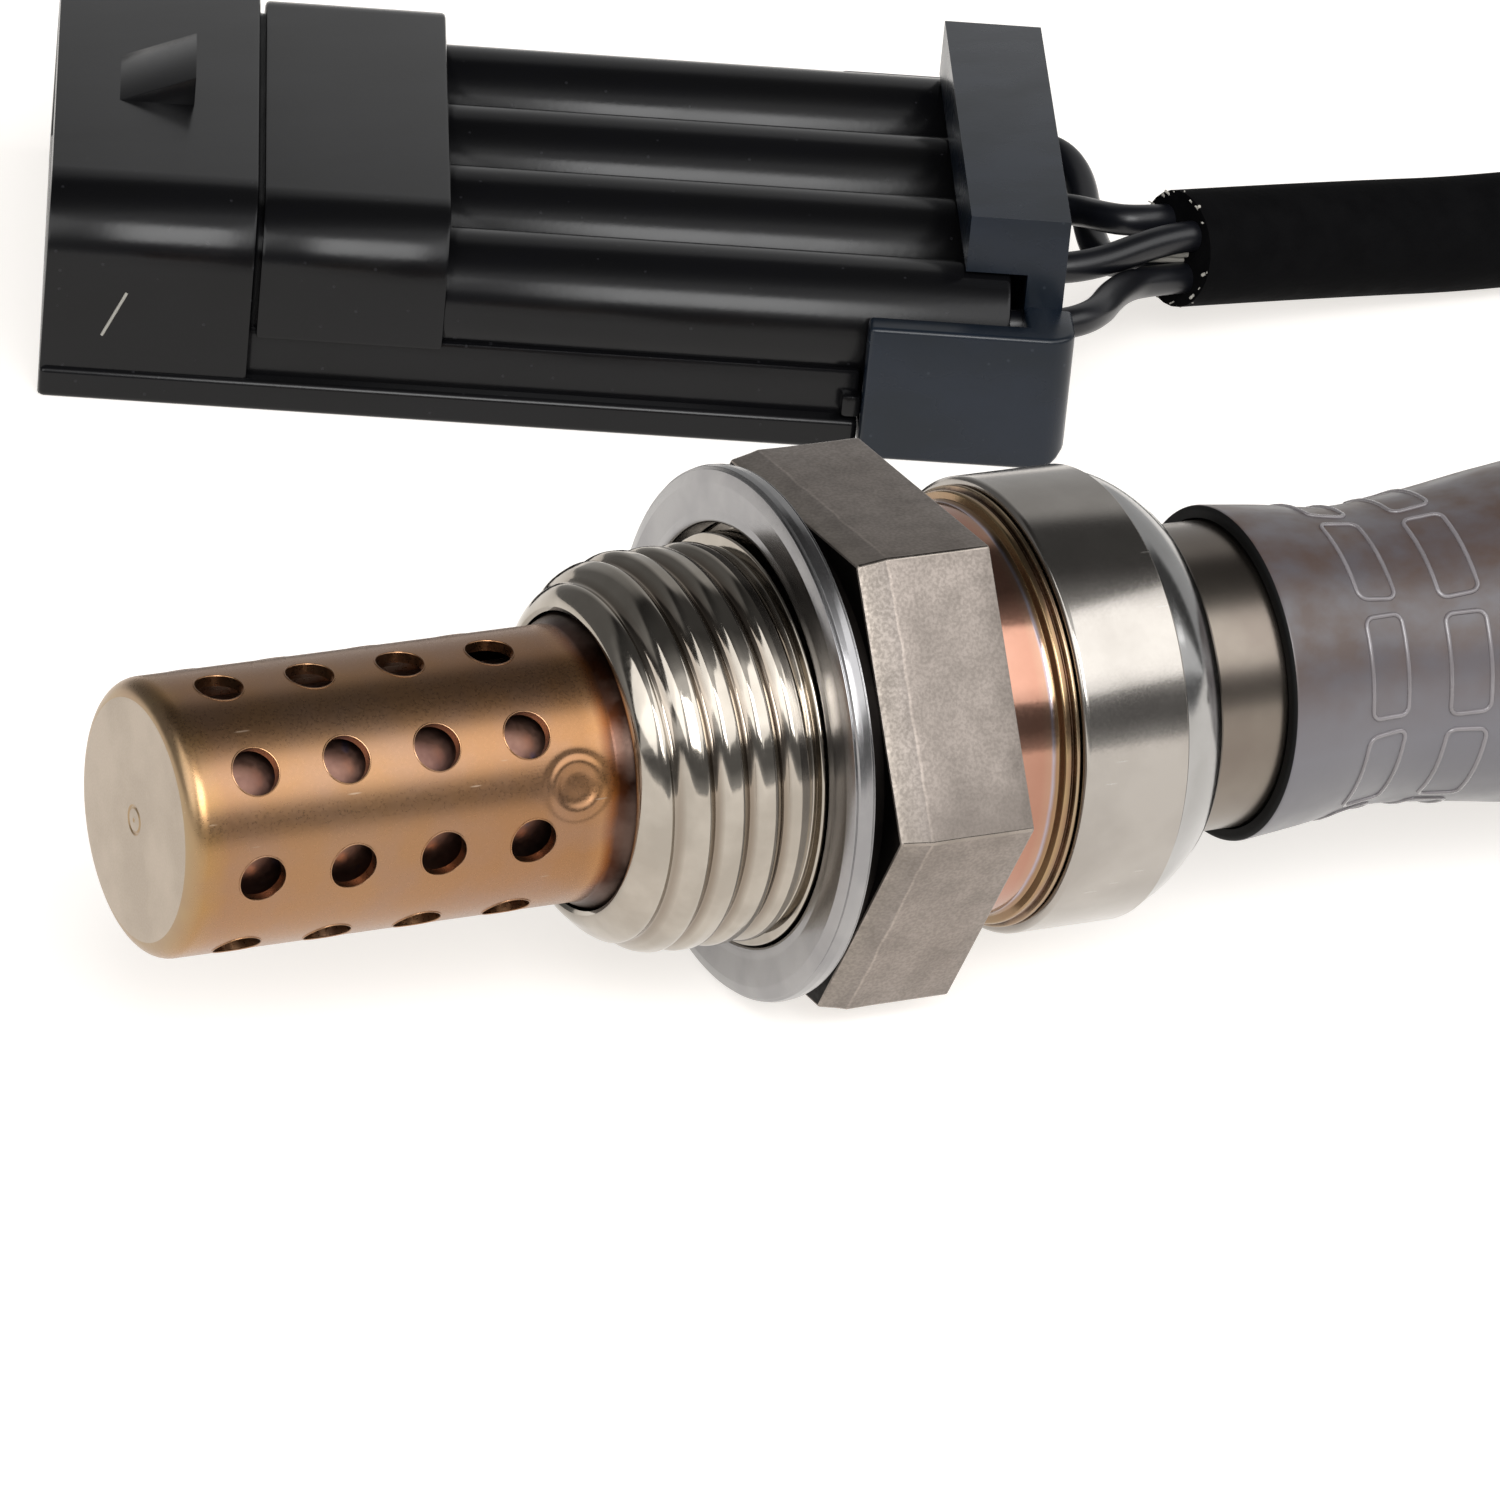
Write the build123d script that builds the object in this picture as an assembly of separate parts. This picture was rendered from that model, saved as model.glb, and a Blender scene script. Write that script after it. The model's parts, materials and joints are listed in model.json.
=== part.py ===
from build123d import *
from math import cos, pi, radians, tan
import os

# Heated oxygen sensor with its short lead and four-way plug, millimetres.
# +X runs along the sensor from its tip to its lead, +Z is up, and the origin is on the sensor's
# axis at the rear end of the thread. The sensor lies on its gasket, and the plug and the lead lie
# on the same surface.

# Shell: thread, flange, hexagon and neck
thread_diameter = 18.0
thread_reach = 7.45         # from the thread's rear end to the nose
nose_taper_length = 3.4     # the first ridges stand on this swelling taper
nose_taper_depth = 2.1      # all round, at the nose
nose_taper_swell = 0.53     # how far the taper stands above a plain cone
relief_depth = 0.7
relief_length = 0.5
spigot_step = 0.3           # how far the gasket's seat stands out past the thread
flange_step = 1.3
hex_across_flats = 22.0
hex_front = 2.85
hex_length = 6.5
hex_bevel_length = 1.4
hex_bevel_depth = 0.25
hex_turn = -1.5             # the sensor lies a little turned about its axis
neck_wall = 1.55
neck_length = 6.25
neck_bead = 0.45
packing_step = 1.1          # how far the bore widens for the packing, all round
crimp_height = 0.9
crimp_length = 3.0

# Gasket: a folded ring of sheet steel
gasket_width = 2.4          # from its bore to its rim
gasket_clearance = 0.4
gasket_front = 0.7
gasket_thickness = 1.3
gasket_round = 0.5
gasket_groove = 0.14        # radius of the fold's groove round the rim
gasket_groove_out = 0.05    # from the rim outwards to the groove's middle

# Protection tubes
tube_diameter = 12.4
tube_wall = 0.5
tube_length = 20.95         # from the shell's nose to the tip
tube_corner = 1.3
tube_skirt_length = 2.9
tube_flare = 0.5            # how far the skirt stands out past the tube
tube_flare_length = 0.85
tube_flare_inside = 0.3     # from the nose back to the flare's end
tube_flare_lag = 0.15       # how much later the bend comes on the tube's inside
hole_diameter = 2.15
hole_rows = 8
holes_in_row = 4
hole_pitch = 4.33
hole_from_tip = 3.4
hole_row_turn = 3.6
dimple_from_tip = 18.5
dimple_turn = 72.6
dimple_diameter = 2.9
dimple_depth = 0.18
dimple_pad = 1.6            # side of the square left raised in the dimple
inner_tube_diameter = 9.8
inner_tube_wall = 0.4
inner_tube_tip_gap = 1.2
inner_hole_diameter = 1.4
inner_hole_count = 6

# Sensing element, heater and packing
element_diameter = 5.0
collar_clearance = 0.35
element_collar_length = 6.3
element_shank_diameter = 8.4
element_bore = 3.6
element_tail = 14.5         # rear end of the element
element_root_step = 0.5     # the thimble thickens towards its collar, all round
element_root_length = 1.0
element_tip_round = 2.1
element_tip_gap = 2.0
washer_thickness = 0.6
heater_diameter = 2.8
heater_stands_out = 1.7
heater_tip_gap = 0.4
heater_edge = 0.3
talc_length = 5.2
bush_length = 3.5
packing_ring_height = 2.6

# Rear sleeve
ferrule_wall = 0.8
ferrule_step = 0.2          # extra thickness where the sleeve sits on the neck
ferrule_front = 13.05
ferrule_length = 8.05
ferrule_front_edge = 0.15
ferrule_seam_from_rear = 2.8
ferrule_seam_depth = 0.15
ferrule_shoulder_drop = 1.75    # from the seam to the rear face, all round
ferrule_shoulder_swell = 0.27   # how far the shoulder's curve stands above a plain cone
ferrule_shoulder_edge = 0.25
tail_diameter = 14.1
tail_wall = 0.6
tail_end = 34.6
tail_neck_diameter = 12.4
tail_neck_start = 29.0
tail_neck_taper = 2.0

# Insulator, contacts and grommet
insulator_flange_length = 1.6
insulator_length = 9.6
core_circle = 6.2           # diameter of the circle on which contacts and cores lie
core_count = 4
core_hole_diameter = 2.3
contact_width = 1.6
contact_thickness = 0.35
contact_barrel_length = 3.4
contact_in_barrel = 0.5     # how far the strip reaches into its barrel
contact_reach = 2.0         # how far an outer strip reaches over the element's tail
contact_gap = 0.3           # from the element's tail to the bend of an outer strip
contact_short = 0.4         # from the bend of an inner strip to the heater's end
contact_entry = 0.2         # straight stretch of each strip before the insulator
grommet_gap = 0.3
grommet_lip = 0.6

# Boot
boot_front = 25.2
boot_end = 69.0
boot_wall = 0.6             # over the rear sleeve's tail
boot_waist_offset = 1.2     # behind the sleeve's taper
boot_bulge = 44.5
boot_bulge_diameter = 16.2
boot_end_diameter = 8.4
boot_bore = 5.0
boot_bore_start = 46.0
boot_pocket_gap = 0.4       # behind the grommet
boot_grip_share = 0.45      # of the run from the rim to the waist: where the grip starts to drop
boot_grip_drop = 0.3
boot_taper_share = 0.55     # of the run from the bulge to the end
boot_taper_size = 0.72      # diameter there, against the bulge
boot_front_slope = -0.02
boot_end_slope = -0.08

# Lead
lead_diameter = 6.0
core_diameter = 1.9
core_spread = 1.15          # from the middle of the sleeve's end to each core, both ways
core_run_in = 1.6           # straight stretch of each core before the sleeve
core_tail_run = 1.2         # straight stretch behind the grommet
core_tail_lead_in = 1.5     # straight stretch before the boot's bore
core_tail_bend = 4.0
core_bundle = 0.72          # from the middle of the bundle to a core's middle, against its diameter
core_bend = 2.2             # largest bend of the cores behind the plug
core_exits = [1.4, 1.2, 1.2, 2.0]
core_bends = [[(3.7, -3.2, -1.9)], [], [(3.0, 0.8, 0.9)], [(2.3, 1.9, -1.9)]]
lead_sag_points = [(84.5, 0, 0), (101.5, -2.2, -3.6), (119.5, -6.8, -7.9)]
lead_loop_points = [(138.5, -8.8), (155.7, -1.9), (167.5, 12.3), (171.2, 31.4), (165.4, 49.5),
                    (151.8, 62.1), (133.9, 66.6), (115.0, 64.2), (96.0, 60.9)]
lead_rise_points = [(76.3, 59.9, -8.95), (65.1, 59.4, -7.9), (55.8, 58.3, -6.9)]
lead_arc_share = 0.45       # of each straight run that an arc may take

# Plug: a flat four-way housing with its mouth at the far end of the lead
plug_place = (3.29, 81.77)  # middle of the mouth, seen from above
plug_turn = -24.45
way_pitch = 8.0
way_count = 4
way_tube_diameter = 6.4
way_height = 5.5
shroud_height = 10.8
shroud_length = 10.3
shroud_wall = 1.4
shroud_margin = 0.5         # how far the shroud stands out past the outer way tubes
shroud_round = 3.8
shroud_low_round = 0.8
mouth_depth = 15.0
floor_thickness = 2.6
band_length = 9.6
band_inset = 0.35
band_underside = 3.3
plug_length = 48.0
sill_thickness = 1.6
sill_stand_out = 0.25
web_thickness = 2.0
skirt_inset = 0.6
skirt_height = 4.0
seal_bore = 4.8
seal_depth = 8.0
ramp_width = 6.0
ramp_length = 4.0
ramp_height = 1.5
ramp_front = 3.0
ramp_sink = 0.1             # how deep the ramp is rooted in the shroud
blade_width = 1.5
blade_thickness = 0.8
blade_recess = 8.6          # from the mouth to the blades' tips
blade_box_width = 2.4
blade_box_height = 2.2
blade_box_length = 14.0
blade_edge = 0.25
blade_crimp_wall = 0.1
seal_rib = 0.35
seal_length = 6.5
seal_rib_count = 3

# Rear lock of the plug
lock_length = 10.4
lock_overhang = 3.2         # behind the way tubes
lock_arm_height = 7.1
lock_arm_thickness = 1.2
lock_floor = 1.3
lock_plate = 1.9
lock_plate_setback = 0.5
lock_strap_length = 5.0
lock_strap_height = 3.0
lock_strap_margin = 0.9
lock_round = 0.7
lock_exit_clearance = 0.3   # round each core

# Clearances
slip = 0.05                 # between turned pieces that fit inside each other
play = 0.1                  # between moulded pieces, and between the boot and the rear sleeve
tiny = 0.001
over = 1.0                  # how far a cutter or a joined blank runs past its face
near = 0.02                 # reading error when an edge is looked up


def turned(*outline):
    """Solid of revolution about X from its outline of (x, radius) points."""
    return revolve(make_face(Polyline(*outline, close=True)), Axis.X)


def ring(x_start, x_end, inner_diameter, outer_diameter):
    """Plain ring about X."""
    outer = outer_diameter / 2
    inner = inner_diameter / 2
    return turned((x_start, inner), (x_end, inner), (x_end, outer), (x_start, outer))


def rod(x_start, x_end, diameter):
    """Plain rod about X."""
    return Pos((x_start + x_end) / 2, 0, 0) * Rot(0, 90, 0) * Cylinder(diameter / 2, x_end - x_start)


def rims(solid, x, diameter):
    """Circular edges about X at one station."""
    return (solid.edges().filter_by(GeomType.CIRCLE)
            .filter_by(lambda e: abs(e.arc_center.X - x) < near and abs(e.radius - diameter / 2) < near))


def around(part, count, first_turn=0.0):
    """Copies of a part about X, evenly spaced."""
    return [Rot(first_turn + 360 / count * i, 0, 0) * part for i in range(count)]


def joined(parts):
    """One shape from several."""
    whole = parts[0]
    for part in parts[1:]:
        whole = whole + part
    return whole


# Diameters that follow from each other
relief_diameter = thread_diameter - 2 * relief_depth
spigot_diameter = thread_diameter + 2 * spigot_step
flange_diameter = spigot_diameter + 2 * flange_step
gasket_bore = spigot_diameter + 2 * gasket_clearance
gasket_diameter = gasket_bore + 2 * gasket_width
shell_bore = tube_diameter + 2 * tube_flare
packing_bore = shell_bore + 2 * packing_step
crimp_bore = packing_bore - 2 * crimp_height
neck_diameter = packing_bore + 2 * neck_wall
element_collar_diameter = shell_bore - 2 * collar_clearance
ferrule_diameter = neck_diameter + 2 * (slip + ferrule_step + ferrule_wall)
shoulder_diameter = ferrule_diameter - 2 * (ferrule_seam_depth + ferrule_shoulder_drop)
shoulder_bore = shoulder_diameter - ferrule_wall
boot_front_diameter = tail_diameter + 2 * (play + boot_wall)
boot_waist_diameter = tail_neck_diameter + 2 * (play + boot_wall)

# Stations along the sensor that several pieces share
nose = -thread_reach
tip = nose - tube_length
hex_rear = hex_front + hex_length
neck_end = hex_rear + neck_length
gasket_rear = gasket_front + gasket_thickness
collar_front = nose + tube_skirt_length + washer_thickness + inner_tube_wall
collar_rear = collar_front + element_collar_length
element_tip = tip + tube_wall + inner_tube_tip_gap + inner_tube_wall + element_tip_gap
element_wall = (element_diameter - element_bore) / 2
talc_rear = collar_rear + talc_length
bush_rear = talc_rear + bush_length
lip_front = neck_end - crimp_length
ferrule_rear = ferrule_front + ferrule_length
insulator_front = ferrule_rear - ferrule_wall - insulator_flange_length
insulator_rear = insulator_front + insulator_length
grommet_front = insulator_rear + grommet_gap
heater_end = element_tail + heater_stands_out
taper_end = tail_neck_start + tail_neck_taper
boot_waist = taper_end + boot_waist_offset
table = -gasket_diameter / 2


# ---------------------------------------------------------------- sensor body

def make_shell():
    """Steel shell: tapered nose, thread blank, relief, flange, bevelled hexagon and neck."""
    crest = thread_diameter / 2
    front = Vector(nose, crest - nose_taper_depth)
    full = Vector(nose + nose_taper_length, crest)
    outward = (full - front).rotate(Axis.Z, 90).normalized()
    taper = ThreePointArc(front, (front + full) / 2 + outward * nose_taper_swell, full)
    rest = Polyline(
        full, (0, crest), (0, relief_diameter / 2),
        (relief_length, relief_diameter / 2), (relief_length, spigot_diameter / 2),
        (gasket_rear, spigot_diameter / 2), (gasket_rear, flange_diameter / 2),
        (hex_front, flange_diameter / 2), (hex_front, neck_diameter / 2),
        (neck_end, neck_diameter / 2), (neck_end, 0), (nose, 0), front)
    outside = revolve(make_face(taper + rest), Axis.X)
    bead = Pos(ferrule_front - neck_bead, 0, 0) * Rot(0, 90, 0) * Torus(neck_diameter / 2, neck_bead)
    outside = outside + Rot(hex_turn, 0, 0) * make_hexagon() + bead
    inside = turned(
        (nose, 0), (nose, shell_bore / 2), (collar_rear, shell_bore / 2), (collar_rear, packing_bore / 2),
        (lip_front, packing_bore / 2), (lip_front, crimp_bore / 2), (neck_end, crimp_bore / 2),
        (neck_end, 0))
    return outside - inside


def make_hexagon():
    """Spanner hexagon, flats up and down, its front edge drawn in by a shallow bevel."""
    across_corners = hex_across_flats / cos(radians(30))
    front_corners = across_corners - 2 * hex_bevel_depth / cos(radians(30))
    facing = Plane.YZ.offset(hex_front)
    full = RegularPolygon(across_corners / 2, 6)
    drawn_in = RegularPolygon(front_corners / 2, 6)
    bevel = loft([facing * drawn_in, Plane.YZ.offset(hex_front + hex_bevel_length) * full])
    body = extrude(Plane.YZ.offset(hex_front + hex_bevel_length) * full, hex_length - hex_bevel_length)
    return bevel + body


def make_gasket():
    """Folded gasket ring: rounded rim, a flat front face and the fold's groove round the rim."""
    body = ring(gasket_front, gasket_rear, gasket_bore, gasket_diameter)
    body = fillet(rims(body, gasket_front, gasket_diameter), gasket_round)
    body = fillet(rims(body, gasket_rear, gasket_diameter), gasket_round)
    groove_radius = gasket_diameter / 2 + gasket_groove_out
    fold = Pos((gasket_front + gasket_rear) / 2, 0, 0) * Rot(0, 90, 0) * Torus(groove_radius, gasket_groove)
    return body - fold


def make_protection_tube():
    """Outer protection tube: a closed can with rows of gas holes and a flared skirt in the shell."""
    r = tube_diameter / 2
    skirt = shell_bore / 2 - slip
    skirt_end = nose + tube_skirt_length
    flare_end = nose + tube_flare_inside
    flare_start = flare_end - tube_flare_length
    outer = turned((tip, 0), (tip, r), (flare_start, r), (flare_end, skirt),
                   (skirt_end, skirt), (skirt_end, 0))
    outer = fillet(rims(outer, tip, tube_diameter), tube_corner)
    t = tube_wall
    lag = tube_flare_lag
    inner = turned((tip + t, 0), (tip + t, r - t), (flare_start + lag, r - t),
                   (flare_end + lag, skirt - t), (skirt_end, skirt - t), (skirt_end, 0))
    inner = fillet(rims(inner, tip + t, tube_diameter - 2 * t), tube_corner - t)
    can = outer - inner
    drill_length = r + over
    drill = Pos(0, 0, drill_length / 2) * Cylinder(hole_diameter / 2, drill_length)
    for station in range(holes_in_row):
        x = tip + hole_from_tip + station * hole_pitch
        can = can - joined([Pos(x, 0, 0) * d for d in around(drill, hole_rows, hole_row_turn)])
    stamp = Pos(0, 0, r - dimple_depth + over) * Cylinder(dimple_diameter / 2, 2 * over)
    pad = Pos(0, 0, r - dimple_depth) * Box(dimple_pad, dimple_pad, dimple_depth)
    mark = Rot(dimple_turn, 0, 0) * (stamp - pad)
    return can - Pos(tip + dimple_from_tip, 0, 0) * mark


def make_inner_tube():
    """Inner protection tube, hung by its flange behind the outer tube's skirt."""
    r = inner_tube_diameter / 2
    t = inner_tube_wall
    flange_front = nose + tube_skirt_length
    closed_end = tip + tube_wall + inner_tube_tip_gap
    flange = shell_bore / 2 - slip
    can = turned((closed_end, 0), (closed_end, r), (flange_front, r), (flange_front, flange),
                 (flange_front + t, flange), (flange_front + t, r - t), (closed_end + t, r - t),
                 (closed_end + t, 0))
    station = tip + hole_from_tip + hole_pitch / 2
    drill = Pos(station, 0, (r + over) / 2) * Cylinder(inner_hole_diameter / 2, r + over)
    return can - joined(around(drill, inner_hole_count, hole_row_turn))


def make_seal_washer():
    """Metal seat between the inner tube's flange and the element's collar."""
    return ring(collar_front - washer_thickness, collar_front, element_shank_diameter, shell_bore - 2 * slip)


def make_element():
    """Zirconia thimble: round tip, thick collar and a rear shank, bored for the heater."""
    r = element_diameter / 2
    root_r = r + element_root_step
    root_front = collar_front - washer_thickness - element_root_length
    outer = turned(
        (element_tip, 0), (element_tip, r), (root_front, root_r), (collar_front, root_r),
        (collar_front, element_collar_diameter / 2), (collar_rear, element_collar_diameter / 2),
        (collar_rear, element_shank_diameter / 2), (element_tail, element_shank_diameter / 2),
        (element_tail, 0))
    outer = fillet(rims(outer, element_tip, element_diameter), element_tip_round)
    return outer - rod(element_tip + element_wall, element_tail, element_bore)


def make_heater():
    """Ceramic heater rod down the middle of the element."""
    heater_tip = element_tip + element_wall + heater_tip_gap
    stick = rod(heater_tip, heater_end, heater_diameter)
    return chamfer(rims(stick, heater_tip, heater_diameter), heater_edge)


def make_talc_ring():
    """Pressed talc packing behind the element's collar."""
    return ring(collar_rear, talc_rear, element_shank_diameter + 2 * slip, packing_bore - 2 * slip)


def make_bush():
    """Ceramic bush that presses on the talc."""
    return ring(talc_rear, bush_rear, element_shank_diameter + 6 * slip, packing_bore - 4 * slip)


def make_packing_ring():
    """Steel ring between the bush and the crimped lip of the shell."""
    outer = packing_bore - 2 * slip
    return ring(bush_rear, lip_front, outer - 2 * packing_ring_height, outer)


def make_ferrule():
    """Rear sleeve drawn from sheet: curved shoulder, then a narrow tail that is necked on the grommet."""
    r = ferrule_diameter / 2
    t = ferrule_wall
    tail = tail_diameter / 2
    neck = tail_neck_diameter / 2
    seam_x = ferrule_rear - ferrule_seam_from_rear
    seam_r = r - ferrule_seam_depth
    shoulder_r = shoulder_diameter / 2
    middle = ((seam_x + ferrule_rear) / 2, (seam_r + shoulder_r) / 2 + ferrule_shoulder_swell)
    shoulder = ThreePointArc((seam_x, seam_r), middle, (ferrule_rear, shoulder_r))
    rest = Polyline(
        (ferrule_rear, shoulder_r), (ferrule_rear, tail), (tail_neck_start, tail), (taper_end, neck),
        (tail_end, neck), (tail_end, 0), (ferrule_front, 0), (ferrule_front, r), (seam_x, r),
        (seam_x, seam_r))
    outer = revolve(make_face(shoulder + rest), Axis.X)
    outer = fillet(rims(outer, ferrule_rear, shoulder_diameter), ferrule_shoulder_edge)
    outer = fillet(rims(outer, ferrule_front, ferrule_diameter), ferrule_front_edge)
    inner = turned(
        (ferrule_front, 0), (ferrule_front, r - t), (seam_x, r - t), (ferrule_rear - t, shoulder_bore / 2),
        (ferrule_rear - t, tail - tail_wall), (tail_neck_start, tail - tail_wall),
        (taper_end, neck - tail_wall), (tail_end, neck - tail_wall), (tail_end, 0))
    seat = ring(ferrule_front, neck_end, neck_diameter + 2 * slip, ferrule_diameter - 2 * t + tiny)
    return outer - inner + seat


def core_places():
    """Angles about X of the four contacts and cores."""
    return [45 + 360 / core_count * i for i in range(core_count)]


def core_rod(x_start, x_end, diameter):
    """Rod on the core circle, above the axis."""
    return Pos(0, 0, core_circle / 2) * rod(x_start, x_end, diameter)


def make_insulator():
    """Ceramic terminal carrier, pressed against the inside of the sleeve's shoulder."""
    flange = shoulder_bore - 4 * slip
    body = rod(insulator_front, insulator_front + insulator_flange_length, flange)
    barrel = tail_diameter - 2 * tail_wall - 4 * slip
    body = body + rod(insulator_front, insulator_rear, barrel)
    hole = core_rod(insulator_front, insulator_rear, core_hole_diameter)
    return body - joined(around(hole, core_count, core_places()[0]))


def make_contact(turn, on_heater):
    """Sprung contact strip with the crimp barrel for its core; two bear on the heater, two on the element."""
    t = contact_thickness
    seat = (heater_diameter if on_heater else element_shank_diameter) / 2 + slip
    middle = core_circle / 2 - t / 2
    start = element_tail + contact_gap if on_heater else element_tail - contact_reach
    bend = heater_end - contact_short if on_heater else element_tail + contact_gap
    entry = insulator_front - contact_entry
    strip_end = insulator_rear - contact_barrel_length + contact_in_barrel
    profile = make_face(Polyline(
        (start, seat), (bend, seat), (entry, middle), (strip_end, middle), (strip_end, middle + t),
        (entry, middle + t), (bend, seat + t), (start, seat + t), close=True))
    strip = extrude(Plane.XZ * profile, contact_width / 2, both=True)
    barrel = core_rod(insulator_rear - contact_barrel_length, insulator_rear, core_hole_diameter - 2 * play)
    return Rot(turn, 0, 0) * (strip + barrel)


def make_grommet():
    """Rubber plug in the necked tail, with a hole for each core."""
    wide = tail_diameter - 2 * tail_wall - 4 * slip
    narrow = tail_neck_diameter - 2 * tail_wall - 4 * slip
    rear = tail_end + grommet_lip
    body = turned((grommet_front, 0), (grommet_front, wide / 2), (tail_neck_start, wide / 2),
                  (taper_end, narrow / 2), (rear, narrow / 2), (rear, 0))
    hole = core_rod(grommet_front, rear, core_diameter + 2 * slip)
    return body - joined(around(hole, core_count, core_places()[0]))


def make_core_tail(turn):
    """One core from its crimp through the grommet and down the boot to the start of the sleeve."""
    bundle = core_diameter * core_bundle
    rear = tail_end + grommet_lip
    path = FilletPolyline(
        (insulator_rear, 0, core_circle / 2), (rear + core_tail_run, 0, core_circle / 2),
        (boot_bore_start - core_tail_lead_in, 0, bundle), (boot_end, 0, bundle), radius=core_tail_bend)
    core = sweep(Plane(origin=path @ 0, z_dir=path % 0) * Circle(core_diameter / 2), path=path)
    return Rot(turn, 0, 0) * core


def make_boot():
    """Moulded boot: grips the sleeve's tail, narrows at the waist, swells and tapers to the lead."""
    grip_x = boot_front + boot_grip_share * (boot_waist - boot_front)
    taper_x = boot_bulge + boot_taper_share * (boot_end - boot_bulge)
    skin = Spline(
        (boot_front, boot_front_diameter / 2), (grip_x, boot_front_diameter / 2 - boot_grip_drop),
        (boot_waist, boot_waist_diameter / 2), (boot_bulge, boot_bulge_diameter / 2),
        (taper_x, boot_bulge_diameter / 2 * boot_taper_size), (boot_end, boot_end_diameter / 2),
        tangents=[(1, boot_front_slope), (1, boot_end_slope)])
    outline = skin + Line(skin @ 1, (boot_end, 0)) + Line((boot_end, 0), (boot_front, 0)) \
        + Line((boot_front, 0), skin @ 0)
    outer = revolve(make_face(outline), Axis.X)
    socket = tail_diameter / 2 + play
    neck = tail_neck_diameter / 2 + play
    pocket_end = tail_end + grommet_lip + boot_pocket_gap
    inner = turned(
        (boot_front, 0), (boot_front, socket), (tail_neck_start, socket), (taper_end, neck),
        (pocket_end, neck), (boot_bore_start, boot_bore / 2), (boot_end, boot_bore / 2), (boot_end, 0))
    return outer - inner


# ---------------------------------------------------------------- lead

def lead_route():
    """Points of the lead's centre line, from the boot to the plug."""
    rest = table + lead_diameter / 2
    loop = [(x, y, rest) for x, y in lead_loop_points]
    return [Vector(boot_end, 0, 0)] + [Vector(*p) for p in lead_sag_points + loop + lead_rise_points]


def arc_radii(points):
    """Radius at each inner point: as large as its two runs allow."""
    radii = []
    for before, here, after in zip(points, points[1:], points[2:]):
        turn = (here - before).get_angle(after - here)
        run = min((here - before).length, (after - here).length)
        radii.append(lead_arc_share * run / tan(radians(turn / 2)))
    return radii


def round_tube(points, radii, diameter):
    """Round tube along straight runs joined by tangent arcs."""
    path = FilletPolyline(*points, radius=radii)
    face = Plane(origin=path @ 0, z_dir=path % 0) * Circle(diameter / 2)
    return sweep(face, path=path), path.length


def make_lead():
    """Sleeved lead from the boot to the plug."""
    points = lead_route()
    radii = arc_radii(points)
    tube, length = round_tube(points, radii, lead_diameter)
    print("lead arcs, mm:", [round(r, 1) for r in radii])
    section = pi * lead_diameter ** 2 / 4
    print("lead length, mm:", round(length, 1), "volume over section x length:",
          round(tube.volume / (section * length), 4))
    return tube


# ---------------------------------------------------------------- plug, modelled with its mouth at X = 0

way_offsets = [(i - (way_count - 1) / 2) * way_pitch for i in range(way_count)]
outer_way = way_offsets[-1]
shroud_half = outer_way + way_tube_diameter / 2 + shroud_margin
band_end = shroud_length + band_length
seal_start = plug_length - seal_depth
lock_rear = plug_length + lock_overhang
lock_front = lock_rear - lock_length
plug_location = Location((plug_place[0], plug_place[1], table), (0, 0, plug_turn))


def housing_section(inset, underside):
    """Cross-section of the shroud: flat below, with large rounds above."""
    low = underside + inset
    high = shroud_height - inset
    half = shroud_half - inset
    section = Pos(0, (low + high) / 2) * Rectangle(2 * half, high - low)
    upper = section.vertices().group_by(Axis.Y)[-1]
    section = fillet(upper, shroud_round - inset)
    return fillet(section.vertices().group_by(Axis.Y)[0], shroud_low_round)


def section_plane(x):
    """Plane across the plug, its own X along the row of ways and its own Y upwards."""
    return Plane(origin=(x, 0, 0), x_dir=(0, 1, 0), z_dir=(1, 0, 0))


def make_plug_housing():
    """Plug housing: open shroud, a band behind it, four way tubes on a sill, and the latch ramp."""
    shroud = extrude(section_plane(0) * housing_section(0, 0), shroud_length)
    band = extrude(section_plane(shroud_length) * housing_section(band_inset, band_underside), band_length)
    deep = shroud_half - skirt_inset
    skirt = Pos((shroud_length + lock_front) / 2, 0, skirt_height / 2) * Box(
        lock_front - shroud_length, 2 * deep, skirt_height)
    way = Pos(0, 0, way_height) * rod(band_end - over, plug_length, way_tube_diameter)
    ways = joined([Pos(0, y, 0) * way for y in way_offsets])
    web = Pos((band_end + plug_length) / 2, 0, way_height) * Box(
        plug_length - band_end, 2 * outer_way, web_thickness)
    sill = Pos(lock_front / 2, 0, sill_thickness / 2) * Box(
        lock_front, 2 * (shroud_half + sill_stand_out), sill_thickness)
    ramp_rear = ramp_front + ramp_length
    ramp_root = shroud_height - ramp_sink
    ramp_side = Polyline((ramp_front, ramp_root), (ramp_rear, ramp_root),
                         (ramp_rear, shroud_height + ramp_height), close=True)
    ramp = extrude(Plane.XZ * make_face(ramp_side), ramp_width / 2, both=True)
    body = shroud + band + skirt + ways + web + sill + ramp
    mouth = Pos(mouth_depth / 2, 0, shroud_height / 2) * Box(
        mouth_depth, 2 * (shroud_half - shroud_wall), shroud_height - 2 * shroud_wall)
    mouth = fillet(mouth.edges().filter_by(Axis.X).group_by(Axis.Z)[-1], shroud_round - shroud_wall)
    body = body - mouth
    body = body - joined([Pos(0, y, way_height) * way_channel() for y in way_offsets])
    return body


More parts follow.
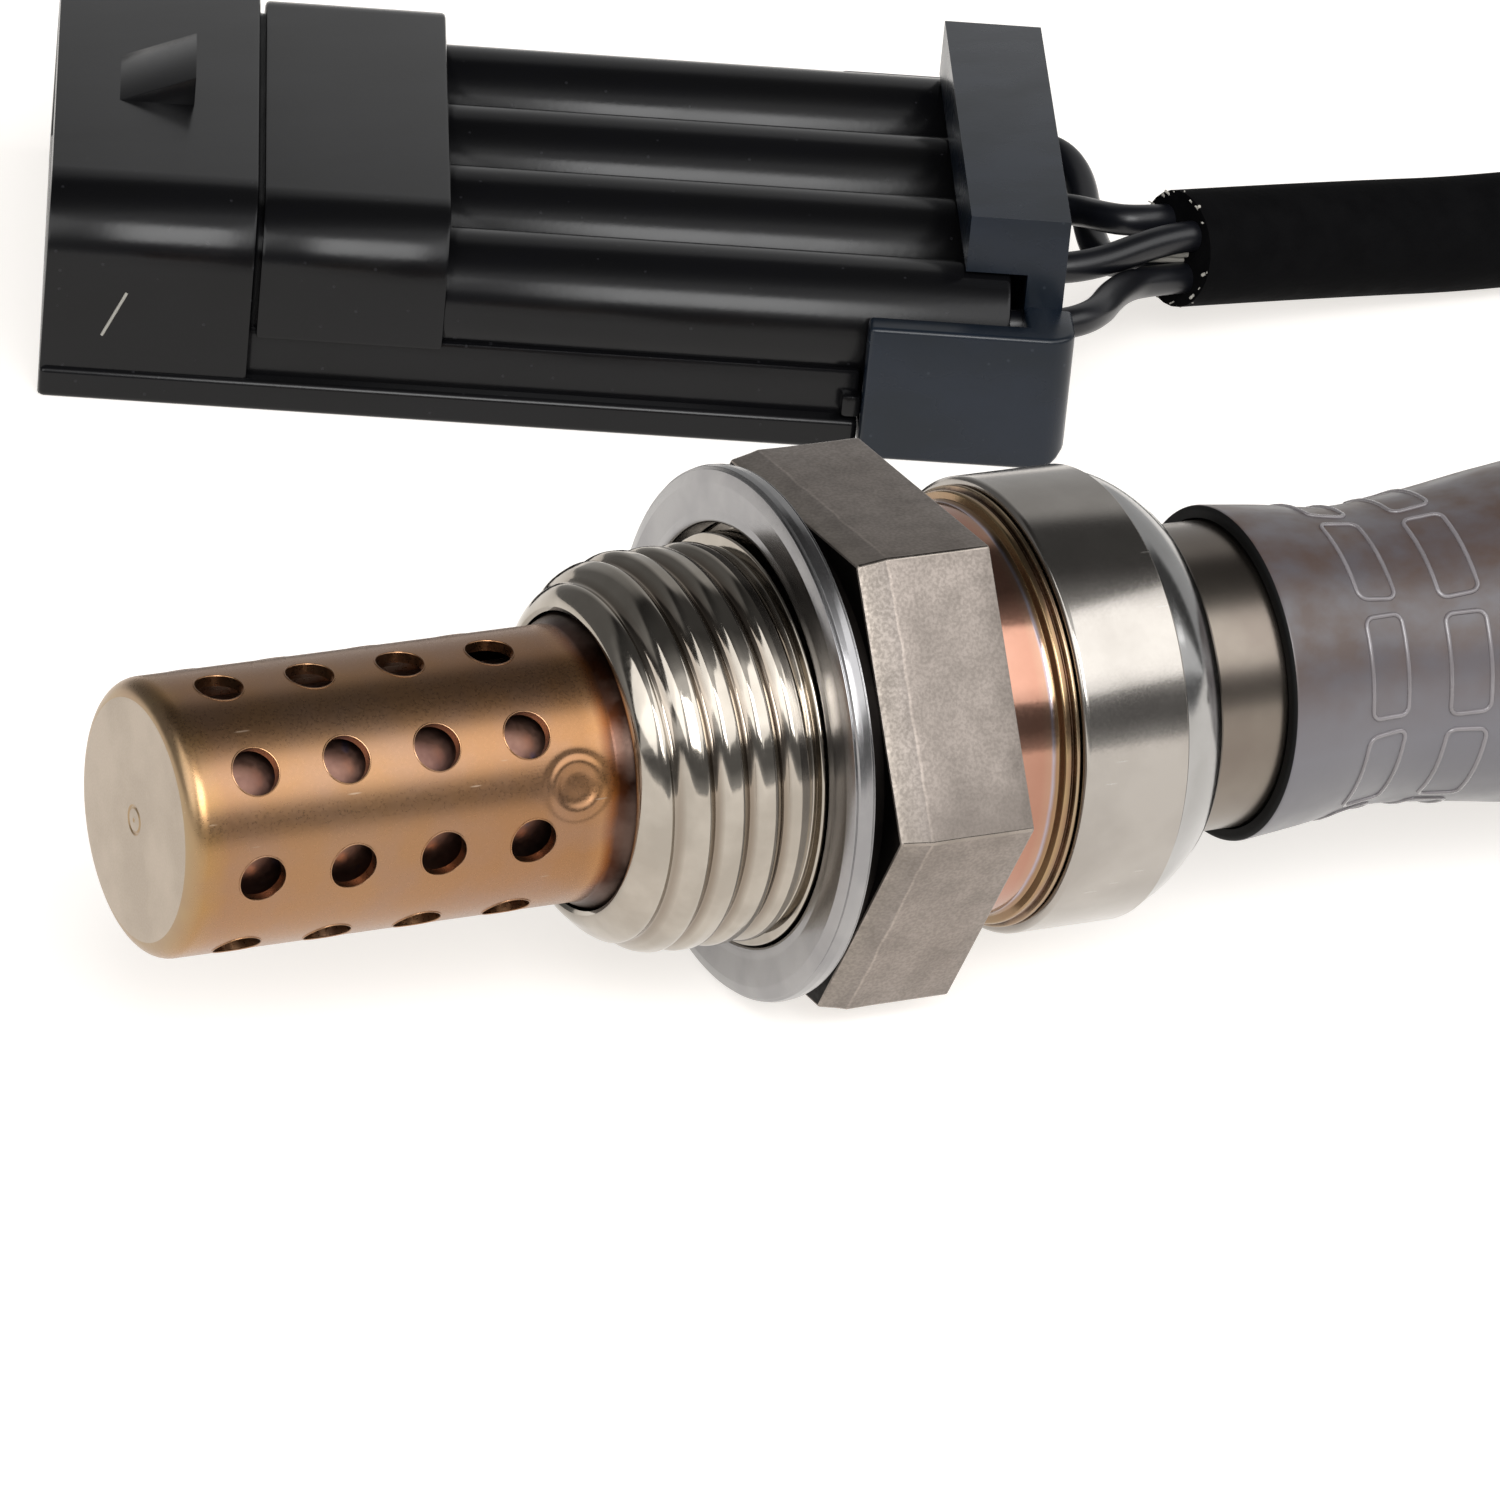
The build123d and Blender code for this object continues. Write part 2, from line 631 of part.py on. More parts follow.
def way_channel():
    """Passage of one way: blade slot, box chamber and seal bore, about its own axis."""
    box_start = mouth_depth + floor_thickness
    slot = Pos(mouth_depth + floor_thickness / 2, 0, 0) * Box(
        floor_thickness + over, blade_width + 2 * play, blade_thickness + 2 * play)
    chamber = Pos((box_start + seal_start) / 2, 0, 0) * Box(
        seal_start - box_start, blade_box_width + 2 * play, blade_box_height + 2 * play)
    bore = rod(seal_start, plug_length, seal_bore)
    return slot + chamber + bore


def make_blade():
    """Male terminal: blade in the mouth, sprung box in the chamber and a crimp on the core."""
    box_start = mouth_depth + floor_thickness + play
    box_end = box_start + blade_box_length
    crimp_end = seal_start - play
    blade = Pos((blade_recess + box_start) / 2, 0, 0) * Box(
        box_start - blade_recess, blade_width, blade_thickness)
    blade = chamfer(blade.edges().filter_by(Axis.Y).group_by(Axis.X)[0], blade_edge)
    box = Pos((box_start + box_end) / 2, 0, 0) * Box(
        box_end - box_start, blade_box_width, blade_box_height)
    crimp = rod(box_end, crimp_end, core_diameter + 2 * blade_crimp_wall)
    return blade + box + crimp


def make_wire_seal():
    """Ribbed silicone seal on a core, in the rear of its way."""
    body = seal_bore / 2 - play
    waist = body - seal_rib
    pitch = seal_length / (2 * seal_rib_count)
    inner = core_diameter / 2 + slip
    crests = []
    for i in range(seal_rib_count):
        start = seal_start + 2 * i * pitch
        crests += [(start, waist), (start + pitch / 2, body), (start + pitch, body),
                   (start + 1.5 * pitch, waist)]
    return turned((seal_start, inner), *crests, (seal_start + seal_length, waist),
                  (seal_start + seal_length, inner))


def make_rear_lock():
    """Rear lock: floor and side arms round the way tubes, a strap over them and a slotted end plate."""
    half = shroud_half + lock_arm_thickness
    middle = (lock_front + play + lock_rear) / 2
    length = lock_rear - lock_front - play
    arm_gap = way_tube_diameter / 2 + outer_way + play
    block = Pos(middle, 0, lock_arm_height / 2) * Box(length, 2 * half, lock_arm_height)
    rear_sides = block.edges().filter_by(Axis.Z).group_by(Axis.X)[-1]
    rear_low = block.edges().filter_by(Axis.Y).group_by(Axis.X)[-1].sort_by(Axis.Z)[0]
    block = fillet(rear_sides + [rear_low], 2 * lock_round)
    top_rims = block.faces().sort_by(Axis.Z)[-1].edges()
    block = fillet(top_rims, lock_round)
    plate_rear = lock_rear - lock_plate_setback
    plate_front = plate_rear - lock_plate
    hollow = Pos((lock_front + plate_front) / 2, 0, lock_floor + lock_arm_height / 2) * Box(
        plate_front - lock_front, 2 * arm_gap, lock_arm_height)
    strap_under = way_height + way_tube_diameter / 2 + play
    strap_top = strap_under + lock_strap_height
    strap_half = outer_way + lock_strap_margin
    strap_front = plate_rear - lock_strap_length
    strap = Pos((strap_front + plate_rear) / 2, 0, (strap_under + strap_top) / 2) * Box(
        lock_strap_length, 2 * strap_half, lock_strap_height)
    strap = fillet(strap.faces().sort_by(Axis.Z)[-1].edges() + strap.edges().filter_by(Axis.Z), lock_round)
    plate = Pos((plate_front + plate_rear) / 2, 0, (lock_floor + strap_top) / 2) * Box(
        lock_plate, 2 * strap_half, strap_top - lock_floor)
    plate = fillet(plate.edges().filter_by(Axis.X).group_by(Axis.Z)[-1], lock_round)
    body = block - hollow + strap + plate
    exit_bore = core_diameter + 2 * lock_exit_clearance
    exit_hole = Pos(0, 0, way_height) * rod(plate_front - over, lock_rear + over, exit_bore)
    return body - joined([Pos(0, y, 0) * exit_hole for y in way_offsets])


def make_core(index):
    """Core from its crimp, out of the rear lock and into the end of the sleeve, already in place."""
    route = lead_route()
    along = (route[-2] - route[-1]).normalized()
    near = along.cross(Vector(0, 0, 1)).normalized()
    up = near.cross(along)
    beside = near if index < way_count / 2 else -near
    above = up if 0 < index < way_count - 1 else -up
    end = route[-1] + beside * core_spread + above * core_spread
    y = way_offsets[index]
    local = [(seal_start - play, y, way_height), (lock_rear + core_exits[index], y, way_height)]
    local += [(lock_rear + x, across, way_height + height) for x, across, height in core_bends[index]]
    points = [(plug_location * Pos(*p)).position for p in local] + [end - along * core_run_in, end]
    radii = [min(r, core_bend) for r in arc_radii(points)]
    return round_tube(points, radii, core_diameter)[0]


# ---------------------------------------------------------------- all pieces

def build():
    """Every piece by its node's name."""
    nodes = {
        "shell": make_shell(),
        "gasket": make_gasket(),
        "protection_tube": make_protection_tube(),
        "inner_tube": make_inner_tube(),
        "seal_washer": make_seal_washer(),
        "sensing_element": make_element(),
        "heater_rod": make_heater(),
        "talc_ring": make_talc_ring(),
        "ceramic_bush": make_bush(),
        "packing_ring": make_packing_ring(),
        "rear_ferrule": make_ferrule(),
        "terminal_insulator": make_insulator(),
        "grommet": make_grommet(),
        "boot": make_boot(),
        "lead_sleeve": make_lead(),
        "plug_housing": plug_location * make_plug_housing(),
        "rear_lock": plug_location * make_rear_lock(),
    }
    for i, turn in enumerate(core_places()):
        nodes[f"contact_{i + 1}"] = make_contact(turn, on_heater=i % 2 == 0)
        nodes[f"core_tail_{i + 1}"] = make_core_tail(turn)
    for i, y in enumerate(way_offsets):
        way = plug_location * Pos(0, y, way_height)
        nodes[f"blade_{i + 1}"] = way * make_blade()
        nodes[f"wire_seal_{i + 1}"] = way * make_wire_seal()
        nodes[f"core_{i + 1}"] = make_core(i)
    return nodes


os.makedirs("parts", exist_ok=True)
for name, solid in build().items():
    export_step(solid, f"parts/{name}.step")
    print(name, round(solid.volume, 2))
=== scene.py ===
"""Looks of a heated oxygen sensor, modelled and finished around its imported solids.

Sizes in the classes are millimetres and are turned to metres where meshes are made. +X runs along the
sensor from its tip to its lead, +Z is up, and the origin is on the axis at the rear end of the thread.
A turn about the axis starts at +Z and goes towards -Y.
"""

import json
import logging
import math
import random
from collections.abc import Callable
from dataclasses import dataclass, field
from enum import Enum

import bmesh
import bpy
from mathutils import Matrix, Vector

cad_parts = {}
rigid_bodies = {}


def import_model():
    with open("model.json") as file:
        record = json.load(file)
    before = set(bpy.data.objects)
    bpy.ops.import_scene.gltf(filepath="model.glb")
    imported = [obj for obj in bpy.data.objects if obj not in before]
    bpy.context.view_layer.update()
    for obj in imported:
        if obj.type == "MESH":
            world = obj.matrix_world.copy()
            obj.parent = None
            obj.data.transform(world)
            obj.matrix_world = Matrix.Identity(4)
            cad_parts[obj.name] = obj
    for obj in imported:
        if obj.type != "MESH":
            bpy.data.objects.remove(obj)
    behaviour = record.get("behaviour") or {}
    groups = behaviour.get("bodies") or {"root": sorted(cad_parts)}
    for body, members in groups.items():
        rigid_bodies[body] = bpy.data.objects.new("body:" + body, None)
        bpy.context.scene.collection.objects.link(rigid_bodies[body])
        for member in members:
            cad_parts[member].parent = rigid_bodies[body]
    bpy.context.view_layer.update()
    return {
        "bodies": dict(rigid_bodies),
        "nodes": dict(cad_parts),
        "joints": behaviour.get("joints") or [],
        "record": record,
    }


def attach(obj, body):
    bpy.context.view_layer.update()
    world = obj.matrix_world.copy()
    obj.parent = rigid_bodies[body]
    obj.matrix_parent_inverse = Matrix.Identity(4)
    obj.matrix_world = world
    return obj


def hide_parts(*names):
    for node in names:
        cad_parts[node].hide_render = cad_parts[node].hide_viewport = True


LOG = logging.getLogger("oxygen_sensor")
MM = 0.001
FULL_TURN = 2 * math.pi
ARC_STEP = math.radians(10)
SMOOTH_ANGLE = math.radians(32)
WELD = 0.000001     # distance in metres under which two points are one
REACH = 1.0         # how far a cutting tool reaches past the piece
AXIAL = 0.97        # a face whose normal has this much of X looks along the sensor

# Corners as (station, radius), or as (station, radius, rounding).
Outline = list[tuple[float, ...]]
Point = tuple[float, float, float]


# ------------------------------------------------------------------ bench: small modelling helpers

class Work(Enum):
    """What a tool does to a piece."""

    CUT = "DIFFERENCE"
    ADD = "UNION"


def deselect() -> None:
    """Leaves edit mode and selects nothing."""
    if bpy.context.object and bpy.context.object.mode != "OBJECT":
        bpy.ops.object.mode_set(mode="OBJECT")
    bpy.ops.object.select_all(action="DESELECT")


def pick(piece: bpy.types.Object) -> None:
    """Makes one piece the only selected and active one.

    Args:
        piece: the piece.
    """
    deselect()
    piece.select_set(True)
    bpy.context.view_layer.objects.active = piece


def settle(piece: bpy.types.Object) -> None:
    """Puts a piece's place, turn and scale into its mesh."""
    pick(piece)
    bpy.ops.object.transform_apply(location=True, rotation=True, scale=True)


def around(station: float, turn: float, radius: float) -> Vector:
    """Point at a station, a turn about the axis and a radius."""
    return Vector((station, -math.sin(turn) * radius, math.cos(turn) * radius))


def rounded(outline: Outline) -> Outline:
    """Points of an open outline, with its inner corners rounded by arcs where they ask for it.

    Args:
        outline: the corners in order.

    Returns:
        Points as (station, radius).
    """
    points = []
    for i, (x, r, *rounding) in enumerate(outline):
        here = Vector((x, r))
        if not rounding or i in (0, len(outline) - 1):
            points.append((x, r))
            continue
        back = Vector(outline[i - 1][:2]) - here
        ahead = Vector(outline[i + 1][:2]) - here
        turn = math.pi - back.angle(ahead)
        reach = min(rounding[0] * math.tan(turn / 2), 0.49 * back.length, 0.49 * ahead.length)
        bend = reach / math.tan(turn / 2)
        start = here + back.normalized() * reach
        middle = (back.normalized() + ahead.normalized()).normalized()
        centre = here + middle * math.hypot(reach, bend)
        spoke = start - centre
        side = 1 if back.x * ahead.y - back.y * ahead.x < 0 else -1
        steps = max(2, math.ceil(turn / ARC_STEP))
        for step in range(steps + 1):
            angle = side * turn * step / steps
            turned = Vector((spoke.x * math.cos(angle) - spoke.y * math.sin(angle),
                             spoke.x * math.sin(angle) + spoke.y * math.cos(angle)))
            points.append(tuple(centre + turned))
    return points


def lathe(name: str, outline: Outline, segments: int = 192) -> bpy.types.Object:
    """Turned piece: one vertex is extruded along the outline, which is then spun about X.

    Args:
        name: the piece's name.
        outline: its corners.
        segments: steps round the axis.

    Returns:
        The piece, smooth where its outline is.
    """
    deselect()
    bpy.ops.mesh.primitive_plane_add(size=MM)
    piece = bpy.context.active_object
    piece.name = name
    bpy.ops.object.mode_set(mode="EDIT")
    bpy.ops.mesh.select_mode(type="VERT")
    bpy.ops.mesh.select_all(action="SELECT")
    bpy.ops.mesh.merge(type="CENTER")
    place = Vector((0, 0))
    for i, point in enumerate(rounded(outline)):
        step = (Vector(point) - place) * MM
        place = Vector(point)
        if i == 0:
            bpy.ops.transform.translate(value=(step.x, 0, step.y))
        else:
            bpy.ops.mesh.extrude_region_move(TRANSFORM_OT_translate={"value": (step.x, 0, step.y)})
    bpy.ops.mesh.select_all(action="SELECT")
    bpy.ops.mesh.remove_doubles(threshold=WELD)
    bpy.ops.mesh.spin(steps=segments, angle=FULL_TURN, center=(0, 0, 0), axis=(1, 0, 0))
    bpy.ops.mesh.select_all(action="SELECT")
    bpy.ops.mesh.remove_doubles(threshold=WELD)
    bpy.ops.mesh.normals_make_consistent(inside=False)
    bpy.ops.object.mode_set(mode="OBJECT")
    settle(piece)
    bpy.ops.object.shade_smooth_by_angle(angle=SMOOTH_ANGLE)
    return piece


def block(name: str, low: Point, high: Point) -> bpy.types.Object:
    """Box ready for edge work.

    Args:
        name: the piece's name.
        low: its lowest corner.
        high: its highest corner.

    Returns:
        The box.
    """
    deselect()
    size = [(b - a) * MM for a, b in zip(low, high)]
    middle = [(a + b) / 2 * MM for a, b in zip(low, high)]
    bpy.ops.mesh.primitive_cube_add(size=1, location=middle, scale=size)
    piece = bpy.context.active_object
    piece.name = name
    settle(piece)
    return piece


def bar(name: str, start: Vector, end: Vector, radius: float, sides: int = 64) -> bpy.types.Object:
    """Round bar.

    Args:
        name: the piece's name.
        start: middle of its first end.
        end: middle of its other end.
        radius: its radius.
        sides: flats round it.

    Returns:
        The bar.
    """
    deselect()
    run = end - start
    turn = run.to_track_quat("Z", "Y").to_euler()
    bpy.ops.mesh.primitive_cylinder_add(vertices=sides, radius=radius * MM, depth=run.length * MM,
                                        location=(start + end) / 2 * MM, rotation=turn)
    piece = bpy.context.active_object
    piece.name = name
    settle(piece)
    return piece


def join(name: str, pieces: list[bpy.types.Object]) -> bpy.types.Object:
    """One object from several.

    Args:
        name: name of the whole.
        pieces: what it is made of.

    Returns:
        The whole.
    """
    deselect()
    for piece in pieces:
        piece.select_set(True)
    bpy.context.view_layer.objects.active = pieces[0]
    bpy.ops.object.join()
    pieces[0].name = name
    return pieces[0]


def combine(piece: bpy.types.Object, tool: bpy.types.Object, work: Work) -> None:
    """Cuts a tool out of a piece, or adds it, and removes the tool.

    Args:
        piece: the piece.
        tool: the tool, a closed shape.
        work: what the tool does.
    """
    pick(piece)
    change = piece.modifiers.new("combine", "BOOLEAN")
    change.operation = work.value
    change.solver = "EXACT"
    change.object = tool
    bpy.ops.object.modifier_apply(modifier=change.name)
    bpy.data.objects.remove(tool)


def ease_edges(piece: bpy.types.Object, width: float, segments: int = 2, angle: float = 40.0) -> None:
    """Rounds every sharp edge of a piece and smooths what is left.

    Args:
        piece: the piece.
        width: width of the rounding.
        segments: steps across it.
        angle: edges that turn by more degrees than this are sharp.
    """
    pick(piece)
    ease = piece.modifiers.new("ease", "BEVEL")
    ease.width = width * MM
    ease.segments = segments
    ease.limit_method = "ANGLE"
    ease.angle_limit = math.radians(angle)
    bpy.ops.object.modifier_apply(modifier=ease.name)
    bpy.ops.object.shade_smooth_by_angle(angle=SMOOTH_ANGLE)


def round_edges(piece: bpy.types.Object, width: float, segments: int,
                chosen: Callable[[bmesh.types.BMEdge], bool]) -> None:
    """Rounds the edges that a test picks.

    Args:
        piece: the piece.
        width: width of the rounding.
        segments: steps across it.
        chosen: the test.
    """
    pick(piece)
    bpy.ops.object.mode_set(mode="EDIT")
    bpy.ops.mesh.select_all(action="DESELECT")
    mesh = bmesh.from_edit_mesh(piece.data)
    for edge in mesh.edges:
        edge.select_set(chosen(edge))
    bmesh.update_edit_mesh(piece.data)
    bpy.ops.mesh.bevel(offset=width * MM, segments=segments, affect="EDGES")
    bpy.ops.object.mode_set(mode="OBJECT")


def round_long_edges(piece: bpy.types.Object, width: float, top: bool, segments: int = 8) -> None:
    """Rounds the two upper or lower edges that run along X.

    Args:
        piece: the piece.
        width: width of the rounding.
        top: whether the upper edges are meant.
        segments: steps across it.
    """
    heights = [v.co.z for v in piece.data.vertices]
    level = max(heights) if top else min(heights)

    def long_at_level(edge: bmesh.types.BMEdge) -> bool:
        """Whether an edge lies at the level and runs along X."""
        run = edge.verts[1].co - edge.verts[0].co
        return all(abs(v.co.z - level) < WELD for v in edge.verts) and abs(run.x) > 0.99 * run.length

    round_edges(piece, width, segments, long_at_level)


def tube_curve(name: str, points: list[Vector], radius: float, body_resolution: int = 12) -> bpy.types.Object:
    """Round cord on one smooth NURBS line.

    Args:
        name: the piece's name.
        points: the line's control points.
        radius: the cord's radius.
        body_resolution: steps round a quarter of it.

    Returns:
        The cord.
    """
    deselect()
    curve = bpy.data.curves.new(name, "CURVE")
    curve.dimensions = "3D"
    curve.resolution_u = 12
    curve.bevel_depth = radius * MM
    curve.bevel_resolution = body_resolution
    curve.use_fill_caps = True
    spline = curve.splines.new("NURBS")
    spline.points.add(len(points) - 1)
    for point, place in zip(spline.points, points):
        point.co = (*(place * MM), 1)
    spline.order_u = 3
    spline.use_endpoint_u = True
    piece = bpy.data.objects.new(name, curve)
    bpy.context.scene.collection.objects.link(piece)
    return piece


# ------------------------------------------------------------------ finishes

class Node(Enum):
    """Kinds of shader node that the finishes and the studio use."""

    PLACE = "ShaderNodeTexCoord"
    LAY = "ShaderNodeMapping"
    SPLIT = "ShaderNodeSeparateXYZ"
    GATHER = "ShaderNodeCombineXYZ"
    VECTORS = "ShaderNodeVectorMath"
    ATTRIBUTE = "ShaderNodeAttribute"
    NOISE = "ShaderNodeTexNoise"
    CELLS = "ShaderNodeTexVoronoi"
    RANGE = "ShaderNodeMapRange"
    RAMP = "ShaderNodeValToRGB"
    MATHS = "ShaderNodeMath"
    MIX = "ShaderNodeMix"
    BUMP = "ShaderNodeBump"
    RAYS = "ShaderNodeLightPath"
    MATT = "ShaderNodeBsdfDiffuse"
    GLOW = "ShaderNodeEmission"
    SUM = "ShaderNodeAddShader"
    CHOICE = "ShaderNodeMixShader"
    SURFACE = "ShaderNodeOutputMaterial"
    BACKGROUND = "ShaderNodeBackground"
    WORLD = "ShaderNodeOutputWorld"


def linear(code: str) -> tuple[float, float, float, float]:
    """Linear colour from an sRGB hex code."""
    values = [int(code[i:i + 2], 16) / 255 for i in (1, 3, 5)]
    return (*(v / 12.92 if v <= 0.04045 else ((v + 0.055) / 1.055) ** 2.4 for v in values), 1.0)


def add_node(tree: bpy.types.NodeTree, kind: Node, inputs: dict | None = None,
             **settings: str) -> bpy.types.Node:
    """Adds one node with its settings and links.

    Args:
        tree: the node tree.
        kind: the node's kind.
        inputs: values, sockets, or nodes for their first live output, by the input's name or number.
        settings: the node's properties by name.

    Returns:
        The node.
    """
    node = tree.nodes.new(kind.value)
    for key, value in settings.items():
        setattr(node, key, value)
    for key, value in (inputs or {}).items():
        if isinstance(value, bpy.types.Node):
            value = next(socket for socket in value.outputs if socket.enabled)
        if isinstance(value, bpy.types.NodeSocket):
            tree.links.new(value, node.inputs[key])
        else:
            node.inputs[key].default_value = value
    return node


def span(low: float, high: float, start: float = 0.0, end: float = 1.0) -> dict[str, float]:
    """Settings of a range that runs from start at low to end at high."""
    return {"From Min": low, "From Max": high, "To Min": start, "To Max": end}


def per(size: float) -> float:
    """Scale of a pattern whose blots are about a size in millimetres."""
    return 1 / (size * MM)


def blank(name: str) -> tuple[bpy.types.Material, bpy.types.NodeTree]:
    """A new material and its node tree.

    Args:
        name: its name.

    Returns:
        The material and its node tree.
    """
    made = bpy.data.materials.new(name)
    made.use_nodes = True
    return made, made.node_tree


@dataclass(frozen=True)
class Stop:
    """Colour at a station along the sensor, and the roughness of the metal there."""

    x: float
    code: str
    rough: float = 0.25


@dataclass(frozen=True)
class Grooves:
    """Darker colour of cut grooves, and the mesh attribute that says how deep in them a place is."""

    code: str
    attribute: str


@dataclass(frozen=True)
class TurnedMetal:
    """Metal with turning marks, a fine grain and an optional tint along the axis.

    Real turning marks and grain are finer than the view can show, so both are drawn a few times coarser.

    Args:
        name: the finish's name.
        colour: main sRGB colour.
        shade: second colour of the soft clouds.
        rough: lowest and highest roughness, or what the grain adds to a tint's roughness.
        ring_spacing: distance between turning marks in mm.
        ring_depth: their depth in mm.
        grain: size of the grain in mm.
        grain_depth: its depth in mm.
        cloud: size of the clouds in mm.
        tint: colours and roughness along the axis, in place of the main colour.
        uneven: how far the tint's borders wander, in mm.
        spots: colour of the small stains.
        spot_share: how much of the surface they take, from 0 to 1.
        scratches: colour of short hairline scratches.
        grooves: the darker colour deep in the grooves.
        fleck: share of the second colour that shows in the grain.
    """

    name: str
    colour: str
    shade: str
    rough: tuple[float, float] = (0.2, 0.3)
    ring_spacing: float = 0.12
    ring_depth: float = 0.002
    grain: float = 0.15
    grain_depth: float = 0.002
    cloud: float = 3.0
    tint: tuple[Stop, ...] = ()
    uneven: float = 0.5
    spots: str = ""
    spot_share: float = 0.0
    scratches: str = ""
    grooves: Grooves | None = None
    fleck: float = 0.0

    def material(self) -> bpy.types.Material:
        """Builds the material.

        Returns:
            The material.
        """
        made, tree = blank(self.name)
        shader = tree.nodes["Principled BSDF"]
        shader.inputs["Metallic"].default_value = 1.0
        place = add_node(tree, Node.PLACE).outputs["Object"]
        parts = add_node(tree, Node.SPLIT, {0: place}).outputs
        across = add_node(tree, Node.GATHER, {"Y": parts["Y"], "Z": parts["Z"]})
        radius = add_node(tree, Node.VECTORS, {0: across}, operation="LENGTH")
        turned = add_node(tree, Node.GATHER, {"X": parts["X"], "Y": radius})
        rings = add_node(tree, Node.NOISE, {"Vector": turned, "Scale": per(self.ring_spacing), "Detail": 3.0})
        grain = add_node(tree, Node.NOISE, {"Vector": place, "Scale": per(self.grain), "Detail": 3.0})
        cloud = add_node(tree, Node.NOISE, {"Vector": place, "Scale": per(self.cloud), "Detail": 4.0})
        if self.tint:
            base, smoothness = self._tinted(tree, parts["X"], cloud)
            thick = add_node(tree, Node.RANGE, {"Value": cloud, **span(0.4, 0.66)})
            veil = add_node(tree, Node.MATHS, {0: thick, 1: 0.3}, operation="MULTIPLY")
            grained = add_node(tree, Node.RANGE, {"Value": grain, **span(0.35, 0.65)})
            rough = add_node(tree, Node.MATHS, {0: grained, 1: self.rough[1] - self.rough[0], 2: smoothness},
                             operation="MULTIPLY_ADD")
        else:
            base = linear(self.colour)
            veil = add_node(tree, Node.RANGE, {"Value": cloud, **span(0.38, 0.62)})
            rough = add_node(tree, Node.RANGE, {"Value": grain, **span(0.35, 0.65, *self.rough)})
        colour = base
        for share, code in [(veil, self.shade)] + self._layers(tree, place, grain):
            colour = add_node(tree, Node.MIX, {"Factor": share, "A": colour, "B": linear(code)},
                              data_type="RGBA")
            if code == self.scratches:
                rough = add_node(tree, Node.MATHS, {0: share, 1: 0.25, 2: rough}, operation="MULTIPLY_ADD")
        fine = add_node(tree, Node.BUMP, {
            "Height": grain, "Strength": 1.0, "Distance": self.grain_depth * MM})
        bump = add_node(tree, Node.BUMP, {
            "Height": rings, "Strength": 1.0, "Distance": self.ring_depth * MM, "Normal": fine})
        for name, source in (("Base Color", colour), ("Roughness", rough), ("Normal", bump)):
            output = next(socket for socket in source.outputs if socket.enabled)
            tree.links.new(output, shader.inputs[name])
        return made

    def _layers(self, tree: bpy.types.NodeTree, place: bpy.types.NodeSocket,
                grain: bpy.types.Node) -> list[tuple[bpy.types.Node, str]]:
        """What lies over the metal's colour.

        Args:
            tree: the node tree.
            place: the place on the piece.
            grain: the grain's noise.

        Returns:
            Pairs of a share and a colour, lowest first.
        """
        layers = []
        if self.fleck:
            flecks = add_node(tree, Node.RANGE, {"Value": grain, **span(0.4, 0.6, 0.0, self.fleck)})
            layers.append((flecks, self.shade))
        if self.grooves:
            deep = add_node(tree, Node.ATTRIBUTE, attribute_name=self.grooves.attribute).outputs["Fac"]
            layers.append((add_node(tree, Node.RANGE, {"Value": deep, **span(0.4, 0.95)}), self.grooves.code))
        if self.spots:
            stain = add_node(tree, Node.NOISE, {
                "Vector": place, "Scale": per(0.45 * self.cloud), "Detail": 2.0})
            edges = span(0.7 - self.spot_share, 0.8 - self.spot_share, 0.0, 0.8)
            layers.append((add_node(tree, Node.RANGE, {"Value": stain, **edges}), self.spots))
        if self.scratches:
            layers.append((self._scratched(tree, place), self.scratches))
        return layers

    def _scratched(self, tree: bpy.types.NodeTree, place: bpy.types.NodeSocket) -> bpy.types.Node:
        """Share of a few short hairlines, about 1.2 mm long and 0.1 mm wide, that lie at two slants.

        Args:
            tree: the node tree.
            place: the place on the piece.

        Returns:
            The node that gives the share.
        """
        shares = []
        for slant, size in ((1.1, 1.0), (1.75, 1.3)):
            laid = add_node(tree, Node.LAY, {
                "Vector": place, "Rotation": (0.3, slant, 0.5),
                "Scale": (0.12 / size, 1.0 / size, 1.0 / size)})
            cells = add_node(tree, Node.CELLS, {"Vector": laid, "Scale": per(0.75), "Randomness": 1.0},
                             feature="F1")
            shares.append(add_node(tree, Node.RANGE, {"Value": cells, **span(0.03, 0.055, 0.5, 0.0)}))
        return add_node(tree, Node.MATHS, dict(enumerate(shares)), operation="MAXIMUM")

    def _tinted(self, tree: bpy.types.NodeTree, x: bpy.types.NodeSocket,
                cloud: bpy.types.Node) -> tuple[bpy.types.NodeSocket, bpy.types.NodeSocket]:
        """The tint at each station, its borders a little uneven.

        Args:
            tree: the node tree.
            x: the station.
            cloud: the clouds' noise.

        Returns:
            Its colour and its roughness.
        """
        low, high = self.tint[0].x * MM, self.tint[-1].x * MM
        shift = self.uneven * MM
        moved = add_node(tree, Node.MATHS, {0: cloud, 1: shift, 2: x}, operation="MULTIPLY_ADD")
        along = add_node(tree, Node.RANGE, {"Value": moved, **span(low + shift / 2, high + shift / 2)})
        ramp = add_node(tree, Node.RAMP, {0: along})
        fill_ramp(ramp, [((stop.x * MM - low) / (high - low), (*linear(stop.code)[:3], stop.rough))
                         for stop in self.tint])
        return ramp.outputs["Color"], ramp.outputs["Alpha"]


def fill_ramp(ramp: bpy.types.Node, stops: list[tuple[float, tuple[float, ...]]]) -> None:
    """Puts colours on a colour ramp.

    Args:
        ramp: the ramp's node.
        stops: positions from 0 to 1, with their colours.
    """
    marks = ramp.color_ramp.elements
    while len(marks) < len(stops):
        marks.new(0.5)
    for mark, (position, colour) in zip(marks, stops):
        mark.position = position
        mark.color = colour


